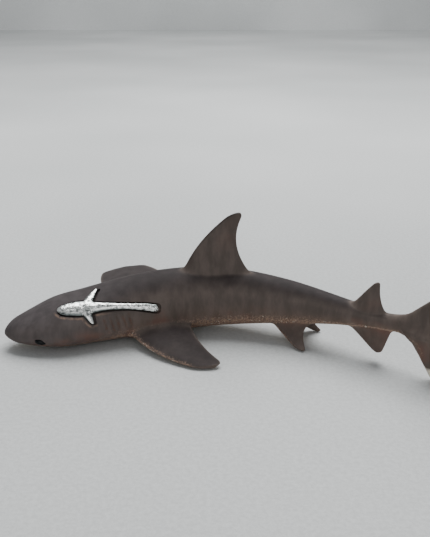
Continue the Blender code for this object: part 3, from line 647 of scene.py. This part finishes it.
def fin_object(form, name, size, place):
    """Loft of a fin from its sunk root to its rounded tip.

    The front and rear edges are straight lines bowed by a parabola. They
    spread at the root by a falling exponential, and draw in at the tip as a
    squashed circle does. A section is an egg: its side is half its thickness
    times the sine of the turn, and its place along the chord the cosine.
    """
    out_share = np.sin(np.linspace(0.0, 1.0, FIN_RINGS) * math.pi / 2) ** 1.25
    out = -form.SINK + (size.span + form.SINK) * out_share
    held = np.clip(out / size.span, 0.0, 1.0)
    lead = size.sweep * held - 4 * size.lead_bow * held * (1 - held)
    trail = size.base + (size.sweep + size.tip - size.base) * held - 4 * size.trail_bow * held * (1 - held)
    past = np.clip((held - TIP_FROM) / (1 - TIP_FROM), 0.0, 1.0)
    rounding = np.sqrt(1.0 - 0.996 * past**2.4)
    middle = lead + (trail - lead) * (0.5 + 0.12 * past)
    lead, trail = middle + (lead - middle) * rounding, middle + (trail - middle) * rounding
    flare = np.exp(-np.maximum(out + 0.5 * form.SINK, 0.0) / FLARE_FADE)
    lead, trail = lead - FLARE * flare, trail + FLARE * flare
    chord = trail - lead
    thick = size.thickness + (TIP_THICKNESS - size.thickness) * held
    thick = np.minimum(thick + ROOT_SWELL * flare * size.thickness, 0.85 * chord)
    turn = np.linspace(0.0, 2 * math.pi, FIN_SIDES, endpoint=False)
    along = lead[:, None] + chord[:, None] * (1 - np.cos(turn)) / 2
    side = thick[:, None] / 2 * np.sin(turn) * (1 + FRONT_FULLNESS * np.cos(turn))
    obj = grid_mesh(name, place(along, np.repeat(out[:, None], FIN_SIDES, axis=1), side))
    ends = [0.0, 1.0]
    front = np.clip((along - lead[:, None]) / FRONT_SPATTER, 0.0, 1.0)
    set_values(obj.data, "fin", np.ones(len(obj.data.vertices)))
    set_values(obj.data, "front_edge", np.append((1 - front).ravel(), ends))
    set_values(obj.data, "tip_share", np.append(np.repeat(held, FIN_SIDES), ends))
    set_values(obj.data, "slit", np.zeros(len(obj.data.vertices)))
    return obj


# The body's section from which the tail's stalk keeps its height.
STALK_SECTION = 8


def upright(form, at, direction):
    """Placing rule of a fin in the body's middle plane; direction is 1 above and -1 below.

    The root follows the body's own height. Further out the seat eases, by a
    falling exponential, to the height that the body has where the fin starts.
    """
    stalk = form.settings.body.section_at[STALK_SECTION]
    level = 0 if direction > 0 else 1

    def place(along, out, side):
        centre, _, near, up = form.axes(at + along)
        high = form.section(np.minimum(at + along, stalk))[level]
        edge = form.section(np.full(along.shape, at))[level]
        seat = np.where(out > 0, edge + (high - edge) * np.exp(-out / form.SINK), high)
        return centre + up * (direction * (seat + out))[..., None] + near * side[..., None]
    return place


def paired(form, size, hand):
    """Placing rule of a paired fin; hand is 1 on the near side and -1 on the far side.

    The fin is flat but for a droop that grows with the square of the share of
    its span, and a turn forward that grows the same way.
    """
    centre, back, near, up = (v[0] for v in form.axes(np.array([size.at])))
    _, deep, wide = (v[0] for v in form.section(np.array([size.at])))
    root = centre + near * hand * wide * math.cos(size.around) + up * deep * math.sin(size.around)
    outward = near * hand * math.cos(size.rise) + up * math.sin(size.rise)
    upward = up * math.cos(size.rise) - near * hand * math.sin(size.rise)

    def place(along, out, side):
        held = np.clip(out / size.span, 0.0, 1.0)
        ahead = out * math.tan(size.turn) * held
        return (root + back * (along - ahead)[..., None] + outward * out[..., None]
                + upward * (side - size.droop * held**2)[..., None])
    return place


def raised(form, size):
    """Placing rule of the tail's upper lobe: a flat fin whose span runs back and up from the stalk."""
    centre, back, near, up = (v[0] for v in form.axes(np.array([size.at])))
    root = centre + up * form.section(np.array([size.at]))[0][0]
    span_way = back * math.cos(size.rise) + up * math.sin(size.rise)
    chord_way = back * math.sin(size.rise) - up * math.cos(size.rise)

    def place(along, out, side):
        return root + chord_way * along[..., None] + span_way * out[..., None] + near * side[..., None]
    return place


def placing_rule(form, name, size):
    """The rule that carries a fin's own distances along, out and aside into space."""
    if name == "upper_lobe":
        return raised(form, size)
    if name.startswith(("near", "far")):
        return paired(form, size, 1 if name.startswith("near") else -1)
    return upright(form, size.at, -1 if name in ("anal", "lower_lobe") else 1)


def fin_objects(form):
    """All nine fins and lobes."""
    sizes = {name: getattr(form.settings, name) for name in FIN_GROUPS}
    return [fin_object(form, name, size, placing_rule(form, name, size)) for name, size in sizes.items()]


# Rounds that spread the strip along a seam, and rounds that smooth it.
SEAM_SPREAD, SEAM_ROUNDS = 7, 22


def soften_seams(mesh):
    """Fillet where a fin meets the body.

    The seam is where an edge joins a fin's vertex to the body's. In a strip
    along it, fading outwards, each vertex moves half way to the mean of its
    neighbours, over and over.
    """
    edges = get_edges(mesh)
    fin = get_values(mesh, "fin")
    seam = np.zeros(len(fin))
    crossing = edges[np.abs(fin[edges[:, 0]] - fin[edges[:, 1]]) > 0.2]
    seam[crossing.ravel()] = 1.0
    strip = seam[:, None]
    for _ in range(SEAM_SPREAD):
        strip = np.minimum(np.maximum(strip, 1.5 * neighbour_mean(edges, strip)), 1.0)
    points = get_points(mesh)
    for _ in range(SEAM_ROUNDS):
        points += 0.5 * strip * (neighbour_mean(edges, points) - points)
    set_points(mesh, points)


# From the snout's own place to rest, where the frame's box stands centred on the floor.
REST_SHIFT = (-0.071621, -0.002565, -0.000640)


def settle(settings, obj):
    """Lay a finished mesh on the floor: two small turns, and the shift that fits the frame's box."""
    body = settings.body
    turn = Matrix.Rotation(body.tilt_y, 4, "Y") @ Matrix.Rotation(body.tilt_x, 4, "X")
    shift = Matrix.Translation(Vector(REST_SHIFT))
    obj.data.transform(shift @ turn)
    obj.data.update()


# The inlay: a dart with two swept wings.

# Rings along the dart and along a wing, and points over the domed top of each.
DART_RINGS, DART_ARC = 130, 28
WING_RINGS, WING_ARC = 36, 24
# How near the first and last rings come to the dart's very ends.
DART_END = 0.00002
# Where along its reach a wing's tip starts to round off, and how much lower the wing is there.
WING_TIP_FROM, WING_FALL = 0.88, 0.35
# How far the metal's own underside lies above the pocket's floor, and how far the pocket's cutter stands out.
METAL_LIFT, CUTTER_PROUD = 0.0003, 0.0030


def on_flank(form, run, across, height):
    """Point along the inlay's axis and across it, at a height over the flank's skin.

    The axis is bowed by a parabola and turned by its slant. Distance up the
    flank is turned into an angle by the body's mean radius there.
    """
    inlay = form.settings.inlay
    across = across + 4 * inlay.bow * (run / inlay.reach) * (1 - run / inlay.reach)
    at = inlay.nose_at + run * math.cos(inlay.slant) + across * math.sin(inlay.slant)
    girth = across * math.cos(inlay.slant) - run * math.sin(inlay.slant)
    high, _, wide = form.section(at)
    return form.off_skin(at, inlay.nose_around + girth / np.sqrt(high * wide), height)


def domed_section(half, floor, top, arc_points):
    """Across and height of each ring: a flat floor, upright sides, and a dome by a power of the arc's sine."""
    arc = np.linspace(0.0, math.pi, arc_points)
    base = np.linspace(-0.9, 0.9, arc_points // 2)
    across = np.concatenate([base, np.cos(arc)])[None] * half[:, None]
    height = np.concatenate([np.full((len(half), len(base)), floor), top[:, None] * np.sin(arc) ** 0.8], axis=1)
    return across, height


def keep_rim(obj, across, half):
    """Store how near each vertex lies to its ring's side: 0 on the axis and 1 at the rim."""
    set_values(obj.data, "rim", np.append((np.abs(across) / half[:, None]).ravel(), [1.0, 1.0]))


def wing_object(form, name, hand, grow, lift, top, shift):
    """One swept wing: its width falls evenly, and its front edge runs back by a power of 1.2 of its reach."""
    inlay = form.settings.inlay
    reach, sweep = ((inlay.upper_reach, inlay.upper_sweep) if hand > 0
                    else (inlay.lower_reach, inlay.lower_sweep))
    share = np.linspace(0.0, 1.0, WING_RINGS)
    out = share * (reach + grow)
    lead = inlay.wing_at + sweep * share**1.2
    chord = inlay.wing_base + (inlay.wing_tip - inlay.wing_base) * share
    end = np.sqrt(1 - 0.7 * np.clip((share - WING_TIP_FROM) / (1 - WING_TIP_FROM), 0.0, 1.0) ** 2)
    half = (chord / 2 + grow) * end
    across, height = domed_section(half, lift - 0.8 * inlay.pocket, top * (1 - WING_FALL * out / reach) * end,
                                   WING_ARC)
    run = (lead + chord / 2)[:, None] + across + shift
    sideways = np.repeat(hand * out[:, None], across.shape[1], axis=1)
    wing = grid_mesh(name, on_flank(form, run, sideways, height))
    keep_rim(wing, across, half)
    return wing


def dart_object(form, name, grow, lift, top, shift=0.0):
    """The dart: a loft of head, stem and knob, rounded at both ends by quarter circles, joined by its wings.

    Grow widens it on all sides and shift moves it back, as the pocket needs.
    """
    inlay = form.settings.inlay
    share = (1 - np.cos(np.linspace(0.0, math.pi, DART_RINGS))) / 2
    run = DART_END + (inlay.reach - 2 * DART_END) * share
    nose = np.clip(run / inlay.tip_round, 0.0, 1.0)
    knob = np.clip((inlay.reach - run) / inlay.knob_round, 0.0, 1.0)
    rounding = np.sqrt(1 - (1 - nose) ** 2) * np.sqrt(1 - (1 - knob) ** 2)
    half = ease(inlay.knots_at, inlay.widths, run) / 2 * rounding + grow
    run = run + grow * (2 * share - 1)
    across, height = domed_section(half, lift - inlay.pocket, top * (0.35 + 0.65 * rounding), DART_ARC)
    run = np.repeat(run[:, None] + shift, across.shape[1], axis=1)
    dart = grid_mesh(name, on_flank(form, run, across, height))
    keep_rim(dart, across, half)
    wings = [wing_object(form, name + "_wing", hand, grow, lift, top, shift) for hand in (1, -1)]
    combine(dart, wings, "UNION")
    return dart


def hammer(mesh, settings):
    """Hammer marks: value noise at two sizes moves the metal's skin along its normals."""
    inlay = settings.inlay
    points = get_points(mesh)
    coarse = lumps(points, inlay.lump_size, 3)
    fine = lumps(points, inlay.lump_size * 0.45, 8)
    relief = coarse * 0.7 + fine * 0.4
    set_points(mesh, points + get_normals(mesh) * (inlay.lumps * relief)[:, None])
    set_values(mesh, "relief", relief * 0.5 + 0.5)


# Paint zones, kept as values on the skin's vertices.

# Where zones start and stop along the body, in metres from the snout: each pair is one soft border.
HEAD_FADE = (0.012, 0.046)
BAND_START, BAND_STOP = (0.018, 0.036), (0.100, 0.112)
CHIN_START = (0.004, 0.010)
THIN_START, THIN_STOP = (0.098, 0.108), (0.134, 0.137)
LOBE_FROM = 0.127
TAIL_FINS_FROM = 0.080
# How high up the back's spray reaches on the front and rear fins, as values of the level.
FRONT_FINS_TOP, REAR_FINS_TOP = 0.90, 0.20
# The wear lies a little below the metal's edge, and ends this far behind the inlay's nose.
WEAR_REACH, WEAR_STOP = 0.0009, (0.012, 0.017)
# Vertices that the wear is worked out for at a time.
WEAR_BLOCK = 1000


def paint_zones(form, mesh):
    """Where each paint lies: shade from back to belly, spatter, head, slits and the cream lobe tip.

    The level is the sine of the turn round the body, 1 on the back and -1 on
    the belly, and on fins it comes from the way that their skin faces. The
    other zones are products of smooth steps along and round the body.
    """
    at, turn = form.locate(get_points(mesh))
    fin = get_values(mesh, "fin")
    front = get_values(mesh, "front_edge")
    tip = get_values(mesh, "tip_share")
    around = np.sin(turn)
    downward = -np.einsum("ij,ij->i", get_normals(mesh), form.axes(at)[3])
    # A fin's level falls from its upper side, dark on the front fins only, to its pale underside.
    highest = np.where(at < TAIL_FINS_FROM, FRONT_FINS_TOP, REAR_FINS_TOP)
    fins = np.where(downward < 0.45, np.clip(0.20 - downward, 0.0, highest), -step_up(downward, 0.45, 0.85))
    edges = get_edges(mesh)

    def soften(values, rounds):
        """Each value becomes half itself and half the mean of its neighbours, round after round."""
        values = np.asarray(values, float)[:, None]
        for _ in range(rounds):
            values = 0.5 * values + 0.5 * neighbour_mean(edges, values)
        return values[:, 0]

    # Painted light: the corner where a fin stands on the body is lightened, with less of the dark back colour,
    # to offset the shade that falls there.
    corner = soften(fin, 32)
    corner = 1 - 0.6 * 4 * corner * (1 - corner) * (around > 0)
    level = soften(np.where(fin > 0.5, fins, around), 28) * corner
    # Spatter lies in a band along the belly line, under the chin and in a thin line below the stalk, and on
    # the front edges of the lower fins short of their tips, on the far side only where they face down.
    band = step_up(-around, -0.05, 0.62) * step_up(at, *BAND_START) * (1 - step_up(at, *BAND_STOP))
    chin = step_up(-around, 0.20, 0.72) * step_up(at, *CHIN_START)
    thin = bump(around + 0.84, 0.13) * step_up(at, *THIN_START) * (1 - step_up(at, *THIN_STOP))
    edge = front * (around < 0.2) * step_up(0.97 - tip, 0.0, 0.1)
    edge = edge * np.where(np.cos(turn) < 0, step_up(downward, -0.2, 0.2), 1.0)
    spatter = np.where(fin > 0.5, edge, np.maximum(band, np.maximum(chin, 0.9 * thin)))
    lobe = (at > LOBE_FROM) & (around < 0.0) & (fin > 0.5)
    cream = np.where(lobe, step_up(tip, 0.45, 0.9), 0.0)
    set_values(mesh, "level", soften(level, 4))
    set_values(mesh, "head", soften(1 - step_up(at, *HEAD_FADE), 4))
    set_values(mesh, "spatter", soften(spatter, 3))
    set_values(mesh, "cream", soften(cream, 4))


def worn_rim(mesh, metal):
    """Where paint has worn to tan just below the inlay: a bell curve round a small distance under the metal."""
    points = get_points(mesh)
    metal = get_points(metal)
    wear = np.zeros(len(points))
    margin = 3 * WEAR_REACH
    close = np.all((points > metal.min(0) - margin) & (points < metal.max(0) + margin), axis=1).nonzero()[0]
    for start in range(0, len(close), WEAR_BLOCK):
        some = close[start:start + WEAR_BLOCK]
        gap = points[some, None] - metal[None]
        distance = np.linalg.norm(gap, axis=2)
        nearest = distance.argmin(1)
        row = np.arange(len(some))
        away = distance[row, nearest]
        below = step_up(-gap[row, nearest, 2] / np.maximum(away, 1e-9), 0.2, 0.6)
        behind = points[some, 0] - metal[:, 0].min()
        wear[some] = bump(away - WEAR_REACH, 0.30 * WEAR_REACH) * below * (1 - step_up(behind, *WEAR_STOP))
    set_values(mesh, "wear", wear)


# Materials.

def linear(code):
    """Linear colour of an sRGB hex code: a straight line for its darkest parts, a power of 2.4 above them."""
    parts = np.array([int(code[i:i + 2], 16) for i in (1, 3, 5)]) / 255
    return (*np.where(parts <= 0.04045, parts / 12.92, ((parts + 0.055) / 1.055) ** 2.4).tolist(), 1.0)


class Finish:
    """A material while it is made up from nodes; place is each point's place on its object."""

    def __init__(self, name):
        self.material = bpy.data.materials.new(name)
        self.material.use_nodes = True
        self.tree = self.material.node_tree
        self.surface = self.tree.nodes["Principled BSDF"]
        self.place = self.add("TexCoord", {}, "Object")

    def add(self, kind, inputs, output=0, **settings):
        """Add a node; each input is a value or another node's output. Gives the node's own output."""
        node = self.tree.nodes.new("ShaderNode" + kind)
        for key, value in settings.items():
            setattr(node, key, value)
        for key, value in inputs.items():
            if isinstance(value, bpy.types.NodeSocket):
                self.tree.links.new(value, node.inputs[key])
            else:
                node.inputs[key].default_value = value
        return node.outputs[output]

    def marks(self, size, detail, rough=0.5):
        """Settings of a noise whose marks have a size in metres."""
        return {"Vector": self.place, "Scale": 1 / size, "Detail": detail, "Roughness": rough}

    def waver(self, size, detail, low, high, onto=None):
        """Noise that runs from low to high, added onto another value if there is one."""
        noise = self.add("TexNoise", self.marks(size, detail), "Fac")
        noise = self.add("MapRange", {"Value": noise, "To Min": low, "To Max": high}, "Result")
        return noise if onto is None else self.add("Math", {0: onto, 1: noise}, operation="ADD")

    def patches(self, marks, low, high, bias=None):
        """Soft patches: 0 where the noise, with its bias, is below low, and 1 where it is above high."""
        noise = self.add("TexNoise", marks, "Fac")
        if bias is not None:
            zone, least, most = bias
            bias = self.add("MapRange", {"Value": zone, "To Min": least, "To Max": most}, "Result")
            noise = self.add("Math", {0: noise, 1: bias}, operation="ADD")
        return self.add("MapRange", {"Value": noise, "From Min": low, "From Max": high}, "Result",
                        interpolation_type="SMOOTHSTEP")

    def coat(self, base, colour, *amounts, kind="MIX"):
        """A colour over the base by the product of the amounts.

        An amount may be a value with the two limits between which it fades in.
        """
        total = None
        for amount in amounts:
            if isinstance(amount, tuple):
                value, low, high = amount
                amount = self.add("MapRange", {"Value": value, "From Min": low, "From Max": high}, "Result",
                                  interpolation_type="SMOOTHSTEP")
            total = amount if total is None else self.add("Math", {0: total, 1: amount}, operation="MULTIPLY")
        return self.add("Mix", {0: total, 6: base, 7: colour}, 2, data_type="RGBA", blend_type=kind)

    def shaded(self, base, dark, amount):
        """The base times a shade that is dark where the amount is 0 and white where it is 1."""
        return self.coat(base, self.coat(linear(dark), linear(WHITE), amount), 1.0, kind="MULTIPLY")

    def grain(self, *layers):
        """Bumps laid one over another; a layer has its marks, their height in metres and a strength."""
        bumped = {}
        for marks, distance, strength in layers:
            height = self.add("TexNoise", marks, "Fac")
            bumped["Normal"] = self.add("Bump", {"Height": height, "Distance": distance, "Strength": strength,
                                                 **bumped}, "Normal")
        return bumped["Normal"]

    def finish(self, colour, rough, normal):
        """Link the surface's colour, roughness and normal, and give the material."""
        for key, value in (("Base Color", colour), ("Roughness", rough), ("Normal", normal)):
            self.tree.links.new(value, self.surface.inputs[key])
        return self.material


def painted_pvc(colours):
    """Injection-moulded PVC, sprayed by hand: matt dark grey brown, with a tan spatter along the belly line."""
    m = Finish("painted_pvc")
    zone = {name: m.add("Attribute", {}, "Fac", attribute_name=name)
            for name in ("level", "head", "spatter", "wear", "slit", "cream")}
    # The spray's soft change from purplish back to reddish brown lower flank, wavering by a few millimetres.
    height = m.waver(0.007, 3.0, -0.14, 0.14, zone["level"])
    base = m.coat(linear(colours.low_flank), linear(colours.flank), (height, -0.70, 0.35))
    base = m.coat(base, linear(colours.back), (height, 0.42, 0.98))
    base = m.coat(base, linear(colours.head), zone["head"], 0.60)
    # Upright mottling, where the spray gun passed in short strokes 3 mm wide and 9 mm high.
    upright_place = m.add("Mapping", {"Vector": m.place, "Scale": (1.0, 1.0, 0.35)}, "Vector")
    strokes = m.patches({**m.marks(0.0030, 4.0, 0.6), "Vector": upright_place}, 0.30, 0.72)
    base = m.shaded(base, colours.stroke, strokes)
    # Redder patches on the flank, about 9 mm across.
    red = m.patches(m.marks(0.009, 3.0), 0.48, 0.70)
    base = m.coat(base, linear(colours.red), red, (height, 0.45, -0.4))
    # The pale belly and fin undersides, fading in below the contour.
    belly = m.waver(0.0016, 3.0, -0.05, 0.05, zone["level"])
    base = m.coat(base, linear(colours.belly), (belly, -0.89, -0.97))
    # Spatter: tan dots of half a millimetre and a few larger pale ones, thick along the belly line and the
    # fins' front edges.
    dots = m.patches(m.marks(0.00045, 2.0, 0.7), 0.50, 0.60, (zone["spatter"], -0.14, 0.06))
    base = m.coat(base, linear(colours.stipple), dots, zone["spatter"], 0.75)
    pale = m.patches(m.marks(0.0008, 1.0), 0.66, 0.76, (zone["spatter"], -0.12, 0.01))
    base = m.coat(base, linear(colours.cream), pale, zone["spatter"], 0.8)
    # Paint worn to tan on the pocket's lower rim.
    worn = m.patches(m.marks(0.0009, 3.0), 0.35, 0.60)
    base = m.coat(base, linear(colours.stipple), zone["wear"], worn, 0.55)
    # Brown wash caught in slits, mouth and nostrils, with painted shade that darkens these recesses.
    caught_wash_and_shade = m.patches(m.marks(0.0012, 3.0), 0.30, 0.75)
    base = m.coat(base, linear(colours.wash), zone["slit"], caught_wash_and_shade, 0.7)
    # The brush-dipped cream tip of the lower tail lobe.
    cream = m.waver(0.0014, 3.0, -0.2, 0.2, zone["cream"])
    base = m.coat(base, linear(colours.cream), (cream, 0.45, 0.85))
    # The mould's fine grain under soft waves in the paint.
    normal = m.grain((m.marks(0.00035, 2.0), 0.00002, 0.4), (m.marks(0.0013, 2.0), 0.00006, 0.35))
    # Matt varnish: patches a little duller than others, with next to no gloss.
    m.surface.inputs["Specular IOR Level"].default_value = 0.14
    return m.finish(base, m.waver(0.003, 3.0, 0.62, 0.78), normal)


def gloss_enamel(colours):
    """Black enamel, dropped on wet: a bead with a tight highlight, and a painted blue reflection at its rim
    where the view grazes it.
    """
    m = Finish("gloss_enamel")
    # Painted reflection: the colour turns blue where the bead is seen edge-on.
    rim = m.add("LayerWeight", {"Blend": 0.35}, "Facing")
    colour = m.coat(linear(colours.eye), linear(colours.eye_rim_reflection), rim)
    # Faint waves in the enamel, under a millimetre across.
    normal = m.grain((m.marks(0.0008, 2.0), 0.00001, 0.2))
    m.surface.inputs["Specular IOR Level"].default_value = 0.15
    return m.finish(colour, m.waver(0.001, 2.0, 0.10, 0.18), normal)


def hammered_silver(colours):
    """Cast silver-coloured metal, hammered and rubbed: bright lumps, grey hollows."""
    m = Finish("hammered_silver")
    relief, rim = (m.add("Attribute", {}, "Fac", attribute_name=name) for name in ("relief", "rim"))
    # Painted reflection: the sides are greyer than the top, for the darker surroundings that a dome's sides
    # reflect. Grey tarnish lies in the hollows and pits, as rubbing only brightens what stands proud.
    colour = m.coat(linear(colours.metal), linear(colours.tarnish), (rim, 0.45, 0.88))
    hollow = m.waver(0.0005, 3.0, -0.4, 0.4, relief)
    colour = m.coat(colour, linear(colours.tarnish), (hollow, 0.46, 0.22), 0.8)
    colour = m.coat(colour, linear(colours.pit), m.patches(m.marks(0.00055, 2.0, 0.6), 0.55, 0.61), 0.65)
    # Small facets of the hammering, drawn coarser than real so that they show.
    normal = m.grain((m.marks(0.0004, 3.0), 0.00012, 0.6))
    m.surface.inputs["Metallic"].default_value = 1.0
    return m.finish(colour, m.waver(0.0007, 3.0, 0.16, 0.30), normal)


def paper(name, code, colours):
    """Matt paper, pressed against felt: a fine grain, and painted shade in broad patches where light falls
    unevenly.
    """
    m = Finish(name)
    # Felt grain a millimetre across, lighter and darker by a few parts in a hundred.
    colour = m.shaded(linear(code), colours.felt, m.patches(m.marks(0.0012, 4.0, 0.75), 0.34, 0.66))
    # Painted shade: broad darker patches 300 mm across, where light falls unevenly on the sheet.
    colour = m.shaded(colour, colours.wave, m.patches(m.marks(0.30, 2.0), 0.30, 0.72))
    normal = m.grain((m.marks(0.0012, 4.0, 0.7), 0.0003, 0.5))
    return m.finish(colour, m.waver(0.01, 2.0, 0.85, 0.95), normal)


# Operators.

def show(obj, material):
    """Link a finished object, smooth, with its material."""
    bpy.context.scene.collection.objects.link(obj)
    obj.data.materials.clear()
    obj.data.materials.append(material)
    obj.data.shade_smooth()
    return obj


# Edges that turn by more degrees than this stay sharp, such as the pocket's rim.
CREASE = 50


class SHARK_OT_skin(bpy.types.Operator):
    """Build the shark's moulded skin with its fins, slits, pocket and paint"""
    bl_idname = "shark.skin"
    bl_label = "Skin"

    def execute(self, context):
        settings = context.scene.shark
        form = Form(settings)
        obj = body_object(form)
        combine(obj, fin_objects(form), "UNION")
        soften_seams(obj.data)
        inlay = settings.inlay
        pocket = dart_object(form, "pocket", inlay.gap, 0.0, CUTTER_PROUD, inlay.gap_shift)
        combine(obj, [pocket], "DIFFERENCE")
        paint_zones(form, obj.data)
        metal = dart_object(form, "metal", 0.0, METAL_LIFT, inlay.proud)
        worn_rim(obj.data, metal.data)
        bpy.data.objects.remove(metal)
        settle(settings, obj)
        show(obj, painted_pvc(settings.colours))
        obj.data.set_sharp_from_angle(angle=math.radians(CREASE))
        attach(obj, "root")
        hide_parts("shark_body")
        return {"FINISHED"}


# Half the depth of an eye's ellipsoid, its rings and points a ring, and the end rings' distance from its poles.
EYE_DEEP = 0.0012
EYE_RINGS, EYE_SIDES, EYE_POLE = 40, 64, 0.02


def eye_object(form, name, around):
    """One eye: an ellipsoid sunk along the skin's normal, its long axis along the body, dipped at its rear."""
    detail = form.settings.detail
    base = form.skin(np.array([detail.eye_at, detail.eye_at + form.STEP]), np.array([around, around]))
    normal = form.normal(np.array([detail.eye_at]), np.array([around]))[0]
    level = base[1] - base[0]
    level -= normal * (level @ normal)
    level /= np.linalg.norm(level)
    upward = np.cross(normal, level)
    upward *= np.sign(upward[2])
    dip = detail.eye_dip
    ahead = level * math.cos(dip) - upward * math.sin(dip)
    across = upward * math.cos(dip) + level * math.sin(dip)
    down, turn = np.meshgrid(np.linspace(EYE_POLE, math.pi - EYE_POLE, EYE_RINGS),
                             np.linspace(0, 2 * math.pi, EYE_SIDES, endpoint=False), indexing="ij")
    ball = (ahead * (detail.eye_length / 2) * (np.sin(down) * np.cos(turn))[..., None]
            + across * (detail.eye_height / 2) * (np.sin(down) * np.sin(turn))[..., None]
            + normal * EYE_DEEP * np.cos(down)[..., None])
    return grid_mesh(name, base[0] - normal * (EYE_DEEP - detail.eye_proud) + ball)


class SHARK_OT_eyes(bpy.types.Operator):
    """Set a glossy black bead on each side of the head"""
    bl_idname = "shark.eyes"
    bl_label = "Eyes"

    def execute(self, context):
        settings = context.scene.shark
        form = Form(settings)
        around = settings.detail.eye_around
        material = gloss_enamel(settings.colours)
        for name, turn in (("near_eye", around), ("far_eye", math.pi - around)):
            obj = eye_object(form, name, turn)
            settle(settings, obj)
            show(obj, material)
            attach(obj, "root")
        return {"FINISHED"}


class SHARK_OT_inlay(bpy.types.Operator):
    """Build the hammered silver dart that lies in the flank's pocket"""
    bl_idname = "shark.inlay"
    bl_label = "Inlay"

    def execute(self, context):
        settings = context.scene.shark
        form = Form(settings)
        obj = dart_object(form, "silver_dart", 0.0, METAL_LIFT, settings.inlay.proud)
        hammer(obj.data, settings)
        settle(settings, obj)
        show(obj, hammered_silver(settings.colours))
        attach(obj, "root")
        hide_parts("silver_inlay")
        return {"FINISHED"}


# Half the sheets' width, where the floor starts in front, and the backdrop's height, in metres.
SHEET_HALF, FLOOR_FRONT, WALL_HEIGHT = 2.5, -1.2, 2.0
# Square soft lamps: size, place and the point that each is aimed at, in metres.
LAMPS = {
    "overhead": (0.60, (0.04, 0.32, 0.62), (0.0, 0.22, 0.0)),
    "front": (0.90, (0.05, -0.95, 0.30), (0.0, 0.0, 0.0)),
    "rear": (0.70, (0.05, 1.10, 0.90), (0.0, 1.35, 0.0)),
}


def sheet(name, low, high, material):
    """Flat sheet across the whole width; low and high are the distance back and the height of its two edges."""
    mesh = bpy.data.meshes.new(name)
    mesh.from_pydata([(-SHEET_HALF, *low), (SHEET_HALF, *low), (SHEET_HALF, *high), (-SHEET_HALF, *high)],
                     [], [(0, 1, 2, 3)])
    mesh.update()
    return show(bpy.data.objects.new(name, mesh), material)


def aim(place, way):
    """Matrix of a lamp or camera that stands at a place and looks along a way."""
    return Matrix.Translation(place) @ Vector(way).to_track_quat("-Z", "Y").to_matrix().to_4x4()


def lamp(name, power):
    """Square soft lamp."""
    size, place, target = LAMPS[name]
    data = bpy.data.lights.new(name, "AREA")
    data.shape = "SQUARE"
    data.size = size
    data.energy = power
    obj = bpy.data.objects.new(name, data)
    obj.matrix_world = aim(place, Vector(target) - Vector(place))
    return obj


def camera(stage):
    """The camera, at the place the photograph was taken from."""
    data = bpy.data.cameras.new("camera")
    data.lens = stage.lens
    data.sensor_fit = "HORIZONTAL"
    data.sensor_width = 36.0
    data.clip_start = 0.01
    obj = bpy.data.objects.new("camera", data)
    obj.matrix_world = aim(stage.eye_point, stage.look)
    return obj


class SHARK_OT_stage(bpy.types.Operator):
    """Lay the floor and backdrop, light them and set the camera"""
    bl_idname = "shark.stage"
    bl_label = "Stage"

    def execute(self, context):
        scene = context.scene
        stage, colours = scene.shark.stage, scene.shark.colours
        end = stage.floor_end
        floor = sheet("floor", (FLOOR_FRONT, 0), (end, 0), paper("floor_paper", colours.floor, colours))
        wall = sheet("backdrop", (end, 0), (end, WALL_HEIGHT), paper("backdrop_paper", colours.wall, colours))
        for name in LAMPS:
            scene.collection.objects.link(lamp(name, getattr(stage, name + "_power")))
        world = bpy.data.worlds.new("room")
        world.use_nodes = True
        room = world.node_tree.nodes["Background"]
        room.inputs["Color"].default_value = linear(colours.room)
        room.inputs["Strength"].default_value = stage.fill_power
        scene.world = world
        scene.camera = camera(stage)
        scene.collection.objects.link(scene.camera)
        return {"FINISHED"}


STEPS = (SHARK_OT_skin, SHARK_OT_eyes, SHARK_OT_inlay, SHARK_OT_stage)


class SHARK_PT_panel(bpy.types.Panel):
    """Steps and sizes of the shark, in the 3D view's sidebar"""
    bl_label = "Shark"
    bl_idname = "SHARK_PT_panel"
    bl_space_type = "VIEW_3D"
    bl_region_type = "UI"
    bl_category = "Shark"

    def draw(self, context):
        layout = self.layout
        for step in STEPS:
            layout.operator(step.bl_idname)
        settings = context.scene.shark
        for name in SharkSettings.__annotations__:
            part = getattr(settings, name)
            box = layout.box()
            box.label(text=name.replace("_", " ").capitalize())
            for key in type(part).__annotations__:
                box.prop(part, key)


CLASSES = (BodySizes, DetailSizes, InlaySizes, Colours, StageSettings, *FIN_GROUPS.values(), SharkSettings,
           *STEPS, SHARK_PT_panel)


def register():
    """Make the classes and the settings known."""
    for cls in CLASSES:
        bpy.utils.register_class(cls)
    bpy.types.Scene.shark = PointerProperty(type=SharkSettings)


def unregister():
    """Take the settings and the classes away again."""
    del bpy.types.Scene.shark
    for cls in reversed(CLASSES):
        bpy.utils.unregister_class(cls)


def main():
    """Build every piece in order."""
    register()
    bpy.ops.shark.skin()
    bpy.ops.shark.eyes()
    bpy.ops.shark.inlay()
    bpy.ops.shark.stage()


if __name__ == "__main__":
    main()
